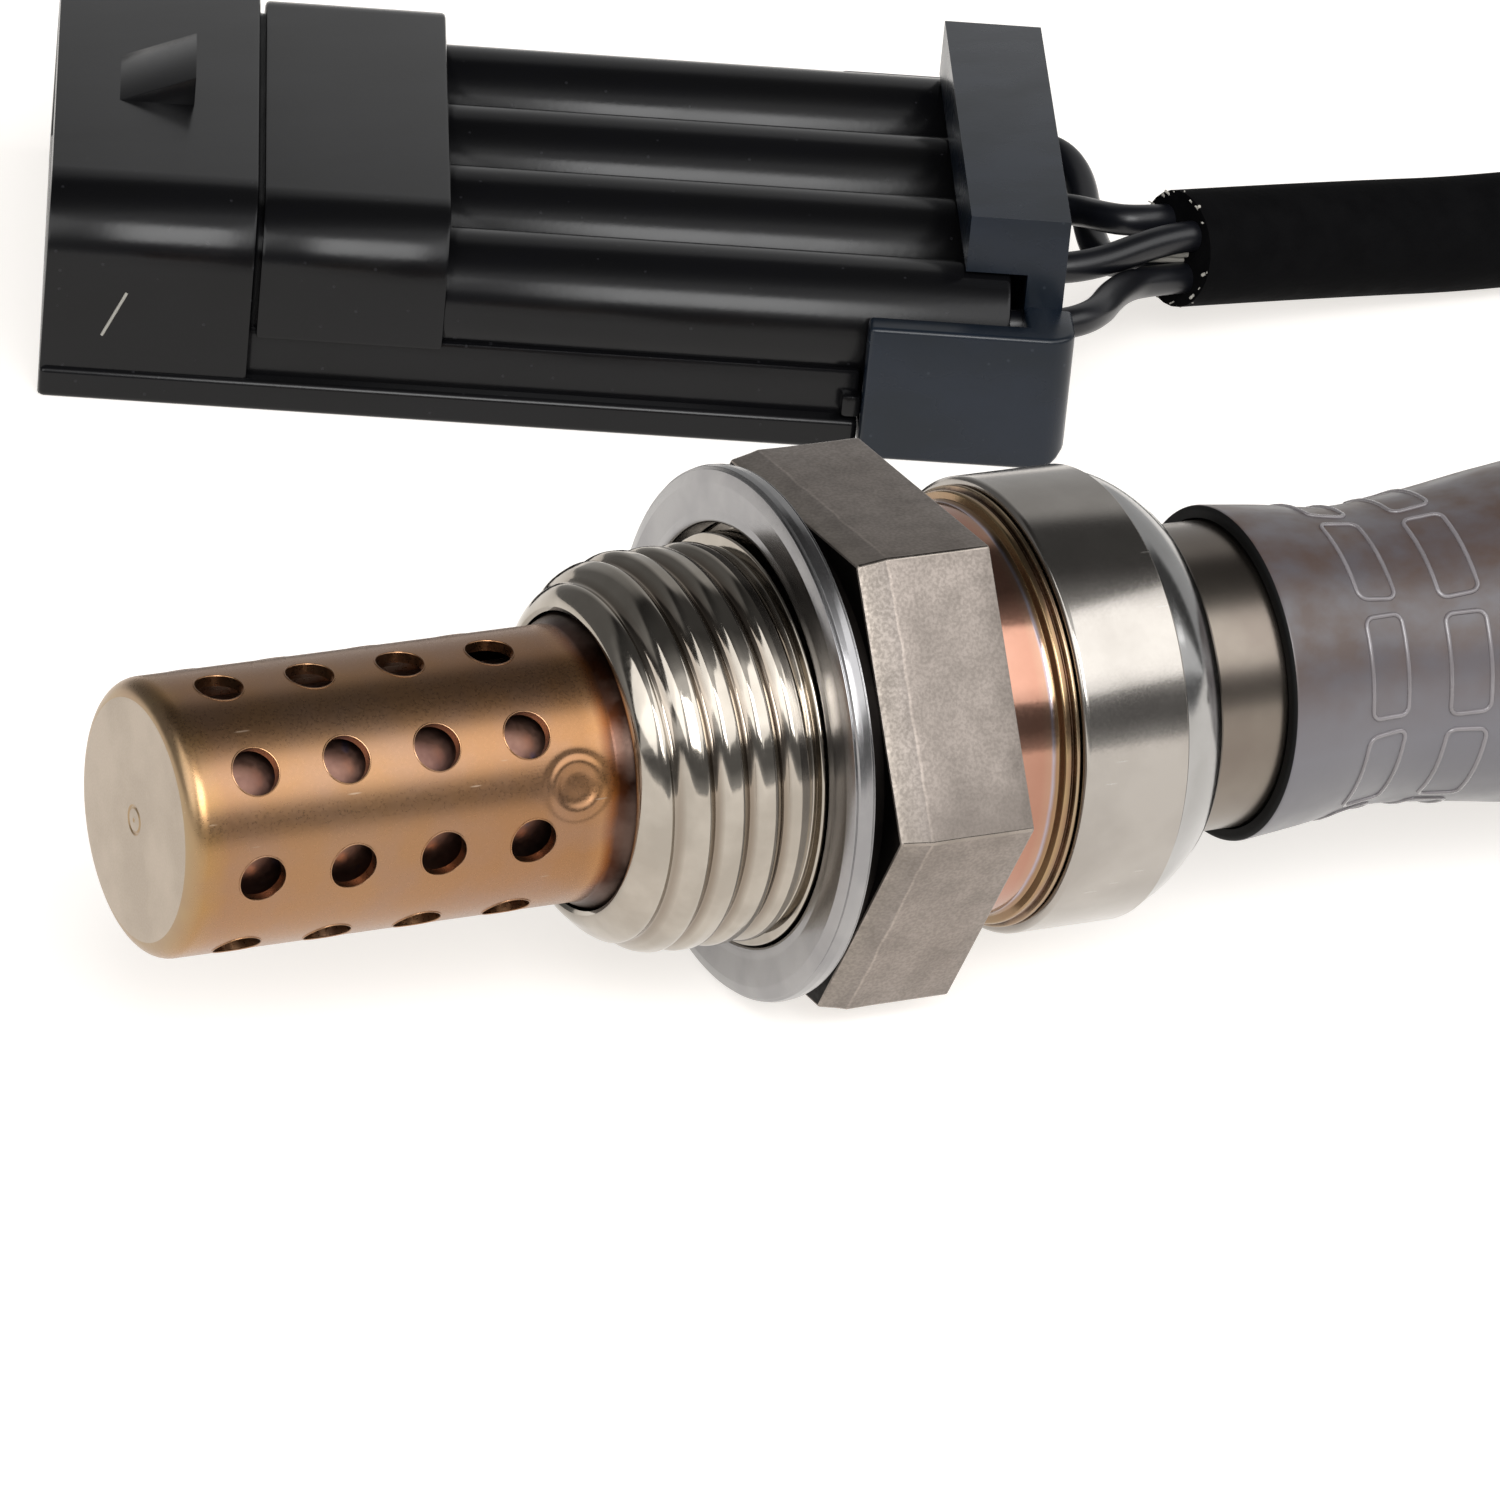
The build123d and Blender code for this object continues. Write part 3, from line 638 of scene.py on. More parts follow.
@dataclass(frozen=True)
class Moulded:
    """Moulded plastic, rubber or ceramic: a body colour with clouds, a fine grain and specks of dust.

    Args:
        name: the finish's name.
        colour: main sRGB colour.
        shade: second colour of the clouds.
        rough: lowest and highest roughness.
        ior: index of refraction.
        grain: size of the grain in mm.
        grain_depth: its depth in mm.
        cloud: size of the clouds in mm.
        cloud_stretch: how many times longer the clouds are along X.
        coat: weight of a clear skin.
        coat_rough: roughness of that skin.
        dust: colour of fine specks, or none.
        gloss: share of the plain mirror reflection, 0.5 for a closed surface and less for a woven one.
        under: colour of the lower half, a painted reflection of the floor, or none.
    """

    name: str
    colour: str
    shade: str
    rough: tuple[float, float] = (0.35, 0.45)
    ior: float = 1.5
    grain: float = 0.25
    grain_depth: float = 0.004
    cloud: float = 4.0
    cloud_stretch: float = 1.0
    coat: float = 0.0
    coat_rough: float = 0.1
    dust: str = ""
    gloss: float = 0.5
    under: str = ""

    def material(self) -> bpy.types.Material:
        """Builds the material.

        Returns:
            The material.
        """
        made, tree = blank(self.name)
        shader = tree.nodes["Principled BSDF"]
        for name, value in (("IOR", self.ior), ("Specular IOR Level", self.gloss), ("Coat Weight", self.coat),
                            ("Coat Roughness", self.coat_rough)):
            shader.inputs[name].default_value = value
        place = add_node(tree, Node.PLACE).outputs["Object"]
        drawn = add_node(tree, Node.LAY, {"Vector": place, "Scale": (1 / self.cloud_stretch, 1, 1)})
        grain = add_node(tree, Node.NOISE, {"Vector": place, "Scale": per(self.grain), "Detail": 3.0})
        cloud = add_node(tree, Node.NOISE, {"Vector": drawn, "Scale": per(self.cloud), "Detail": 4.0})
        layers = [(add_node(tree, Node.RANGE, {"Value": cloud, **span(0.36, 0.64)}), self.shade)]
        # Painted reflection: below the middle the colour turns to the lower half's colour.
        if self.under:
            height = add_node(tree, Node.SPLIT, {0: place}).outputs["Z"]
            lower = add_node(tree, Node.RANGE, {"Value": height, **span(4 * MM, -1 * MM)})
            layers.append((lower, self.under))
        if self.dust:
            cells = add_node(tree, Node.CELLS, {"Vector": place, "Scale": per(1.1), "Randomness": 1.0},
                             feature="F1")
            specks = add_node(tree, Node.RANGE, {"Value": cells, **span(0.05, 0.09, 0.5, 0.0)})
            layers.append((specks, self.dust))
        colour = linear(self.colour)
        for share, code in layers:
            colour = add_node(tree, Node.MIX, {"Factor": share, "A": colour, "B": linear(code)},
                              data_type="RGBA")
        rough = add_node(tree, Node.RANGE, {"Value": cloud, **span(0.35, 0.65, *self.rough)})
        bump = add_node(tree, Node.BUMP, {
            "Height": grain, "Strength": 1.0, "Distance": self.grain_depth * MM})
        tree.links.new(colour.outputs["Result"], shader.inputs["Base Color"])
        tree.links.new(rough.outputs[0], shader.inputs["Roughness"])
        tree.links.new(bump.outputs["Normal"], shader.inputs["Normal"])
        return made


# Bright nickel plate on free-cutting steel: mirror-like crests, turning darker brown the deeper a place lies
# in the grooves.
NICKEL = TurnedMetal("nickel_plate", "#ADA69C", "#A0998F", (0.07, 0.12), ring_spacing=0.14, ring_depth=0.0012,
                     grain=0.3, grain_depth=0.0005, cloud=2.5, grooves=Grooves("#857A6E", "groove"))
# Spanner flats as forged and plated: an even, warm grey grain that softens every reflection, and a
# pale line over the small ridge where the drawn-in front band ends, partly a painted highlight.
FLATS_TINT = (Stop(2.8, "#A0978F", 0.42), Stop(3.0, "#928A82", 0.48), Stop(4.17, "#8E8680", 0.48),
              Stop(4.23, "#A49A92", 0.4), Stop(4.27, "#A49A92", 0.4), Stop(4.36, "#948B84", 0.44),
              Stop(9.25, "#948B84", 0.44), Stop(9.35, "#A9A098", 0.38))
FLATS = TurnedMetal("plated_flats", "#8A827B", "#5C5650", (0.0, 0.1), ring_spacing=0.3, ring_depth=0.0006,
                    grain=0.15, grain_depth=0.006, cloud=1.4, tint=FLATS_TINT, uneven=0.3,
                    scratches="#A39A92", fleck=0.22)
# Long edges of the hexagon: smoother than the flats, and paler, which is a painted highlight along each edge.
EDGE_HIGHLIGHT = TurnedMetal("painted_edge_highlight", "#A0978F", "#8D857D", (0.18, 0.26), ring_spacing=0.3, ring_depth=0.001,
                     grain=0.2, cloud=1.5)
# Near-black painted shade for the corner behind the gasket: the flange behind it and the hexagon's front
# face.
GAP_SHADE = TurnedMetal("painted_gap_shade", "#1C1917", "#141211", (0.5, 0.6), ring_spacing=0.3, ring_depth=0.001,
                    grain=0.2, cloud=2.0)
# Folded sheet steel, bright where it was drawn over the die.
SHEET_STEEL = TurnedMetal("folded_sheet_steel", "#9B9A9A", "#8F8E8F", (0.19, 0.23), ring_spacing=0.3,
                          ring_depth=0.0006, grain_depth=0.0002)
# Polished neck beside the laser weld: heat colours run from copper through a lilac line to straw and brown.
# The near-black stops in the bead's groove and where the neck goes under the drum are painted shade.
NECK_TINT = (Stop(9.2, "#B18876", 0.1), Stop(11.4, "#A77C6A", 0.1), Stop(11.85, "#A98672", 0.1),
             Stop(11.97, "#A39CA6", 0.12), Stop(12.1, "#8C7156", 0.12), Stop(12.35, "#A08866", 0.16),
             Stop(12.6, "#7D6650", 0.18), Stop(12.74, "#3A2C22", 0.3), Stop(12.8, "#A08E74", 0.16),
             Stop(12.98, "#8E7A62", 0.2), Stop(13.05, "#281E17", 0.4), Stop(13.2, "#1E1713", 0.4))
NECK = TurnedMetal("heat_coloured_neck", "#B18370", "#9A705D", (0.0, 0.05), ring_spacing=0.3,
                   ring_depth=0.001, grain=0.2, grain_depth=0.0004, cloud=2.0, tint=NECK_TINT, uneven=0.12)
# Drawn stainless can after heat treatment: golden bronze with soft highlights, dark brown at its root,
# turning near black where it goes into the shell's nose: painted shade of that gap.
TUBE_TINT = (Stop(-28.4, "#A08A6C", 0.28), Stop(-27.7, "#A07C52", 0.26), Stop(-26.6, "#9A7555", 0.27),
             Stop(-20.0, "#9B7757", 0.27), Stop(-13.0, "#977151", 0.27), Stop(-9.4, "#946D4B", 0.26),
             Stop(-8.7, "#A0754D", 0.26), Stop(-8.25, "#7A4822", 0.26), Stop(-7.95, "#3C1F10", 0.28),
             Stop(-7.5, "#1E100A", 0.35), Stop(-6.5, "#150D09", 0.4))
BRONZE = TurnedMetal("heat_tinted_stainless", "#9C7552", "#8F776C", (0.0, 0.06), ring_spacing=0.5,
                     ring_depth=0.0004, grain=0.12, grain_depth=0.0003, cloud=2.6, tint=TUBE_TINT,
                     scratches="#BFAE9B")
# Blunt end of the can: fine blasted grain, so it reads as a flat beige disc.
TIP_DISC = TurnedMetal("blasted_tip", "#BCB0A2", "#B2A698", (0.5, 0.6), ring_spacing=0.35, ring_depth=0.003,
                       grain=0.1)
# Inner can, drawn stainless, dull and pinkish from heat, with lilac stains.
PINK_STAINLESS = TurnedMetal("inner_can_stainless", "#8A6A5C", "#6E524A", (0.34, 0.44), ring_spacing=0.3,
                             grain=0.2, cloud=2.5, spots="#6A5C6E", spot_share=0.08)
# Rear sleeve: satin stainless with hairline scratches from handling.
SATIN = TurnedMetal("satin_stainless", "#ABA6A0", "#A09B95", (0.13, 0.18), ring_spacing=0.3,
                    ring_depth=0.0006, grain=0.12, grain_depth=0.001, cloud=4.0, scratches="#C0BDB8")
# Rolled shoulder of the rear sleeve, burnished by the roller and so cooler and smoother.
SHOULDER = TurnedMetal("burnished_shoulder", "#ABAAA9", "#A09F9D", (0.12, 0.16), ring_spacing=0.25,
                       ring_depth=0.001, grain=0.2, grain_depth=0.0006, cloud=4.0)
# Narrow tail of the rear sleeve, satin stainless too, warmer and duller.
WARM_SATIN = TurnedMetal("warm_satin_stainless", "#80786F", "#776E66", (0.25, 0.27), ring_spacing=0.2,
                         ring_depth=0.0006, grain=0.12, grain_depth=0.0003, cloud=4.0)
# Turned plain steel of the washer and the packing ring, dull grey.
PLAIN_STEEL = TurnedMetal("plain_steel", "#B4B0AA", "#A39F99", (0.3, 0.4))
# Rolled spring strip of the contacts, pale yellow and half bright.
SPRING_STRIP = TurnedMetal("spring_strip", "#C9BFA4", "#B8AE94", (0.25, 0.35), ring_spacing=0.2, grain=0.1,
                           grain_depth=0.001)
# Tin-plated brass of the plug's terminals, whitish and half bright.
TINNED_BRASS = TurnedMetal("tinned_brass", "#D2CFC6", "#BFBBB0", (0.25, 0.35), ring_spacing=0.2, grain=0.1,
                           grain_depth=0.001)
# Boot: moulded grey-brown rubber with a satin skin and drawn-out brown clouds; its lower half is painted
# paler and cooler, a painted reflection of the floor.
BOOT_RUBBER = Moulded("moulded_boot_rubber", "#524D50", "#4A3B35", (0.3, 0.42), grain=0.3, grain_depth=0.003,
                      cloud=1.6, cloud_stretch=1.3, coat=0.3, coat_rough=0.28, under="#6A686D")
# Raised lines of the boot's mould, shinier than the boot and paler: partly their own colour, partly a painted
# highlight.
BOOT_LINE = Moulded("boot_mould_line", "#7B7679", "#6E696B", (0.2, 0.28), grain=0.2, grain_depth=0.002,
                    cloud=2.0, coat=0.8, coat_rough=0.15)
# Front end and bore of the boot, matte near-black: the trimmed rubber's colour, with painted shade on the rim
# and in the bore.
BOOT_CUT_AND_SHADE = Moulded("boot_cut_end_and_shade", "#060606", "#040404", (0.6, 0.7), gloss=0.15)
# Plug: glass-filled nylon, nearly black, half gloss from the mould with a few specks of dust.
PLUG_NYLON = Moulded("black_glass_filled_nylon", "#0B0B0D", "#09090A", (0.18, 0.24), ior=1.46, grain=0.3,
                     grain_depth=0.003, cloud=3.0, cloud_stretch=4.0, dust="#2A2A2D", gloss=0.3)
# Lock: moulded nylon too, dyed blue-black and a little duller.
LOCK_NYLON = Moulded("blue_black_nylon", "#141C27", "#111820", (0.24, 0.32), ior=1.46, grain=0.3,
                     grain_depth=0.003, cloud=3.0, cloud_stretch=2.0, dust="#343A41", gloss=0.4)
# Sleeve: matte woven tape that drinks the light; its threads are drawn at half a millimetre.
SLEEVE = Moulded("black_woven_sleeve", "#060607", "#0B0B0C", (0.75, 0.85), ior=1.4, grain=0.5,
                 grain_depth=0.03, cloud=1.5, gloss=0.06)
# Extruded wire insulation: smooth, black and half gloss.
WIRE = Moulded("wire_insulation", "#0D0E12", "#101116", (0.3, 0.36), ior=1.46, grain=0.3, grain_depth=0.003,
               cloud=3.0)
# Spun filler thread and paint: dry and off-white.
PALE_THREAD = Moulded("pale_filler_thread", "#B4B1A8", "#8E8B84", (0.7, 0.8))
# Sintered zirconia of the sensing thimble: dense, matte ivory.
ZIRCONIA = Moulded("sintered_zirconia", "#E9E6DE", "#DAD6CC", (0.55, 0.65), ior=1.6, grain=0.1,
                   grain_depth=0.003)
# Sintered alumina of the heater and the insulators: dense, matte white.
ALUMINA = Moulded("sintered_alumina", "#EEEDEA", "#E2E0DB", (0.55, 0.65), ior=1.6, grain=0.1,
                   grain_depth=0.003)
# Pressed talc powder: dry, pale and soft-edged.
TALC = Moulded("pressed_talc", "#D8D5CB", "#C9C6BC", (0.8, 0.9), grain=0.2, grain_depth=0.02)
# Moulded sealing rubber: plain matte black.
SEAL_RUBBER = Moulded("black_sealing_rubber", "#161616", "#101010", (0.6, 0.7), grain=0.2)


class Wardrobe:
    """Makes each material once and puts it on pieces."""

    def __init__(self) -> None:
        """Starts with no materials."""
        self.made: dict[str, bpy.types.Material] = {}

    def material(self, finish: TurnedMetal | Moulded) -> bpy.types.Material:
        """The material of a finish, made when it is first asked for.

        Args:
            finish: the finish.

        Returns:
            Its material.
        """
        if finish.name not in self.made:
            self.made[finish.name] = finish.material()
        return self.made[finish.name]

    def put_on(self, piece: bpy.types.Object, *finishes: TurnedMetal | Moulded) -> None:
        """Dresses a piece.

        Args:
            piece: the piece.
            finishes: its finishes, in the order of its faces' material numbers.
        """
        piece.data.materials.clear()
        for finish in finishes:
            piece.data.materials.append(self.material(finish))


WARDROBE = Wardrobe()


def number_faces(piece: bpy.types.Object, second: Callable[[bpy.types.MeshPolygon], bool]) -> None:
    """Gives the faces that a test picks a piece's second finish, and the others its first."""
    for face in piece.data.polygons:
        face.material_index = int(second(face))


def hand_over(piece: bpy.types.Object, slot: str, *nodes: str) -> None:
    """Lets a finished piece ride on the part's one body, and reports it.

    Args:
        piece: the piece.
        slot: its material slot in the part's record; not used.
        nodes: the solids that it stands for.
    """
    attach(piece, "root")
    if nodes:
        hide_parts(*nodes)
    kind = f"{len(piece.data.polygons)} faces" if piece.type == "MESH" else "curve"
    LOG.info("%s: %s", piece.name, kind)


# ------------------------------------------------------------------ sensor

@dataclass
class Thread:
    """Right-hand thread on the shell, cut into its crest cylinder."""

    pitch: float = 1.65
    depth: float = 0.45
    sharpness: float = 2.4
    crest: float = 9.0
    crest_station: float = -0.3
    crest_turn: float = math.radians(61.4)
    start: float = -7.3
    run_in: float = 1.0

    def cut(self, x: float, turn: float) -> float:
        """Depth of the groove at a place.

        Args:
            x: its station.
            turn: its turn about the axis.

        Returns:
            The depth.
        """
        phase = (x - self.crest_station) / self.pitch - (turn - self.crest_turn) / FULL_TURN
        wave = 0.5 - 0.5 * math.cos(FULL_TURN * phase)
        fade = min(1.0, max(0.0, (x - self.start) / self.run_in))
        return self.depth * wave ** self.sharpness * fade * fade * (3 - 2 * fade)


@dataclass
class Shell:
    """Steel shell: tapered nose, thread, gasket seat, flange, spanner hexagon and heat-coloured neck."""

    nose: float = -7.45
    nose_rim: float = 6.9
    nose_taper: float = 3.4
    nose_fullness: float = 1.25
    nose_lip: float = 0.1
    bore: float = 6.72
    bore_end: float = 2.4
    packing_bore: float = 7.8
    crimp_bore: float = 6.9
    # Groove between the thread and the gasket's seat, as corners.
    relief: tuple[Point, ...] = ((0.12, 8.7, 0.1), (0.38, 8.7, 0.1), (0.5, 9.3, 0.12))
    seat: float = 9.3
    flange: float = 10.6
    gasket_rear: float = 2.0
    hex_front: float = 2.85
    hex_length: float = 6.5
    hex_flats: float = 22.0
    hex_band: float = 1.4
    hex_draw_in: float = 0.25
    hex_turn: float = math.radians(-1.5)
    burr_half: float = 0.06
    burr_swell: float = 1.0016
    overlap: float = 0.4
    neck: float = 9.35
    neck_end: float = 15.6
    # Bead and groove of the neck, as corners whose radius is taken from the neck's.
    bead: tuple[Point, ...] = (
        (12.0, 0, 0.3), (12.22, 0.12, 0.1), (12.35, 0.5, 0.15), (12.62, 0.5, 0.12), (12.72, 0.4, 0.05),
        (12.8, 0.7, 0.1), (12.98, 0.7, 0.08), (13.0, 0.1, 0.05))
    neck_step: float = 12.6
    thread: Thread = field(default_factory=Thread)

    def build(self) -> None:
        """Models, dresses and hands over the shell's pieces."""
        front = self._front()
        WARDROBE.put_on(front, NICKEL, GAP_SHADE)
        # Faces behind the gasket's rear take the near-black painted shade.
        number_faces(front, lambda face: face.center.x > (self.gasket_rear + 0.05) * MM)
        hand_over(front, "nickel_steel", "shell")
        hexagon = self._hexagon()
        WARDROBE.put_on(hexagon, FLATS, GAP_SHADE, EDGE_HIGHLIGHT)
        for face in hexagon.data.polygons:
            # Front faces take the painted shade, the long edges the paler painted highlight.
            face.material_index = 1 if face.normal.x < -AXIAL else self._edge_number(face.normal)
        hand_over(hexagon, "nickel_steel", "shell")
        neck = self._neck()
        WARDROBE.put_on(neck, NECK)
        hand_over(neck, "nickel_steel", "shell")

    def _front(self) -> bpy.types.Object:
        """Nose, thread and flange, with the thread's grooves cut by moving its fine rings of vertices.

        Returns:
            The piece, with how deep each point lies in a groove as its attribute "groove".
        """
        crest = self.thread.crest
        mouth = (self.nose + self.nose_lip, self.bore)
        flange_rear = self.hex_front + 0.3
        nose = self._nose_points()
        start, steps = nose[-1][0], 52
        rings = [(start * (1 - i / steps), crest) for i in range(1, steps + 1)]
        piece = lathe("shell_front", [
            mouth, *nose, *rings, *self.relief, (self.gasket_rear, self.seat),
            (self.gasket_rear, self.flange, 0.1), (flange_rear, self.flange),
            (flange_rear, self.packing_bore), (self.bore_end, self.packing_bore),
            (self.bore_end, self.bore), mouth], 240)
        groove = piece.data.attributes.new("groove", "FLOAT", "POINT")
        for vertex in piece.data.vertices:
            x, y, z = (c / MM for c in vertex.co)
            radius = math.hypot(y, z)
            if radius > self.nose_rim and x < 0.02:
                share = 0.4 + 0.6 * (radius - self.nose_rim) / (crest - self.nose_rim)
                cut = share * self.thread.cut(x, math.atan2(-y, z))
                groove.data[vertex.index].value = cut / self.thread.depth
                vertex.co.y *= 1 - cut / radius
                vertex.co.z *= 1 - cut / radius
        return piece

    def _nose_points(self) -> Outline:
        """Points of the swelling taper from the nose's rim up to the thread's crests.

        Returns:
            The points.
        """
        rise = self.thread.crest - self.nose_rim
        points = []
        steps = 44
        for i in range(steps + 1):
            angle = math.pi / 2 * i / steps
            along = self.nose_taper * (1 - math.cos(angle) ** self.nose_fullness)
            points.append((self.nose + along, self.nose_rim + rise * math.sin(angle) ** self.nose_fullness))
        return points

    def _hexagon(self) -> bpy.types.Object:
        """Spanner hexagon with a drawn-in front band, its edges slightly worn.

        Returns:
            The hexagon.
        """
        deselect()
        corner = self.hex_flats / 2 / math.cos(math.radians(30))
        bpy.ops.mesh.primitive_cylinder_add(
            vertices=6, radius=corner * MM, depth=self.hex_length * MM,
            location=((self.hex_front + self.hex_length / 2) * MM, 0, 0), rotation=(0, math.radians(90), 0))
        piece = bpy.context.active_object
        piece.name = "spanner_hexagon"
        settle(piece)
        first = piece.data.vertices[0].co
        piece.data.transform(Matrix.Rotation(self.hex_turn - math.atan2(first.z, first.y), 4, "X"))
        burr = self.hex_front + self.hex_band
        self._slice(piece, burr)
        self._swell(piece, self.hex_front, (self.hex_flats - 2 * self.hex_draw_in) / self.hex_flats)
        pick(piece)
        bpy.ops.object.mode_set(mode="EDIT")
        bpy.ops.mesh.select_all(action="SELECT")
        bpy.ops.mesh.subdivide(number_cuts=3)
        bpy.ops.object.mode_set(mode="OBJECT")
        ease_edges(piece, 0.11, 2, 20.0)
        self._slice(piece, burr - self.burr_half, burr + self.burr_half)
        self._swell(piece, burr, self.burr_swell)
        return piece

    def _edge_number(self, normal: Vector) -> int:
        """Material number of a hexagon face.

        Args:
            normal: the face's normal.

        Returns:
            2 on the long edges between two flats and 0 on the flats.
        """
        sixth = math.radians(60)
        turn = math.atan2(-normal.y, normal.z) + self.hex_turn
        off_flat = abs((turn + sixth / 2) % sixth - sixth / 2)
        return 2 if off_flat > math.radians(7) and abs(normal.x) < 0.3 else 0

    def _slice(self, piece: bpy.types.Object, *stations: float) -> None:
        """Adds a ring of edges across the hexagon at each station.

        Args:
            piece: the hexagon.
            stations: the stations.
        """
        pick(piece)
        bpy.ops.object.mode_set(mode="EDIT")
        for station in stations:
            bpy.ops.mesh.select_all(action="SELECT")
            bpy.ops.mesh.bisect(plane_co=(station * MM, 0, 0), plane_no=(1, 0, 0))
        bpy.ops.object.mode_set(mode="OBJECT")

    def _swell(self, piece: bpy.types.Object, station: float, change: float) -> None:
        """Scales the ring of vertices at a station about the axis.

        Args:
            piece: the hexagon.
            station: the station.
            change: the scale.
        """
        for vertex in piece.data.vertices:
            if abs(vertex.co.x - station * MM) < 0.01 * MM:
                vertex.co.y *= change
                vertex.co.z *= change

    def _neck(self) -> bpy.types.Object:
        """Polished neck behind the hexagon, with its bead and groove in front of the rear sleeve.

        Returns:
            The neck.
        """
        r, start = self.neck, self.hex_front + self.hex_length - self.overlap
        return lathe("shell_neck", [
            (start, self.packing_bore), (start, r), *((x, r + out, bend) for x, out, bend in self.bead),
            (self.neck_end, r + 0.02, 0.05), (self.neck_end, self.crimp_bore, 0.1),
            (self.neck_step, self.crimp_bore), (self.neck_step, self.packing_bore),
            (start, self.packing_bore)])


@dataclass
class Gasket:
    """Folded ring of sheet steel: flat front face, drawn rim and the fold's fine line round it."""

    front: float = 0.7
    rear: float = 2.0
    bore: float = 9.55
    rim: float = 12.1
    # Corners behind the front face: lip of the bore (radius from the bore), then face and rim (from the rim).
    lip: tuple[Point, ...] = ((0.7, 0, 0.05), (-0.03, -0.02, 0.3), (0.07, 0.55, 0.3))
    fold: tuple[Point, ...] = (
        (0.02, -0.75, 0.12), (0.2, -0.15, 0.06), (0.28, -0.22, 0.02), (0.36, -0.06, 0.05), (0.62, 0, 0.2),
        (0.98, -0.03, 0.1), (1.03, -0.12, 0.02), (1.08, -0.05, 0.05))
    # The loose ring hangs a little forward and up of the axis.
    slack: Point = (-0.15, 0.0, 0.2)

    def build(self) -> None:
        """Models, dresses and hands over the gasket."""
        lip = [(self.front + x, self.bore + out, bend) for x, out, bend in self.lip]
        fold = [(self.front + x, self.rim + out, bend) for x, out, bend in self.fold]
        piece = lathe("folded_gasket", [
            *lip, *fold, (self.rear, self.rim - 0.45, 0.2), (self.rear, self.bore, 0.08), lip[0][:2]], 240)
        piece.data.transform(Matrix.Translation(Vector(self.slack) * MM))
        WARDROBE.put_on(piece, SHEET_STEEL)
        hand_over(piece, "gasket_steel", "gasket")


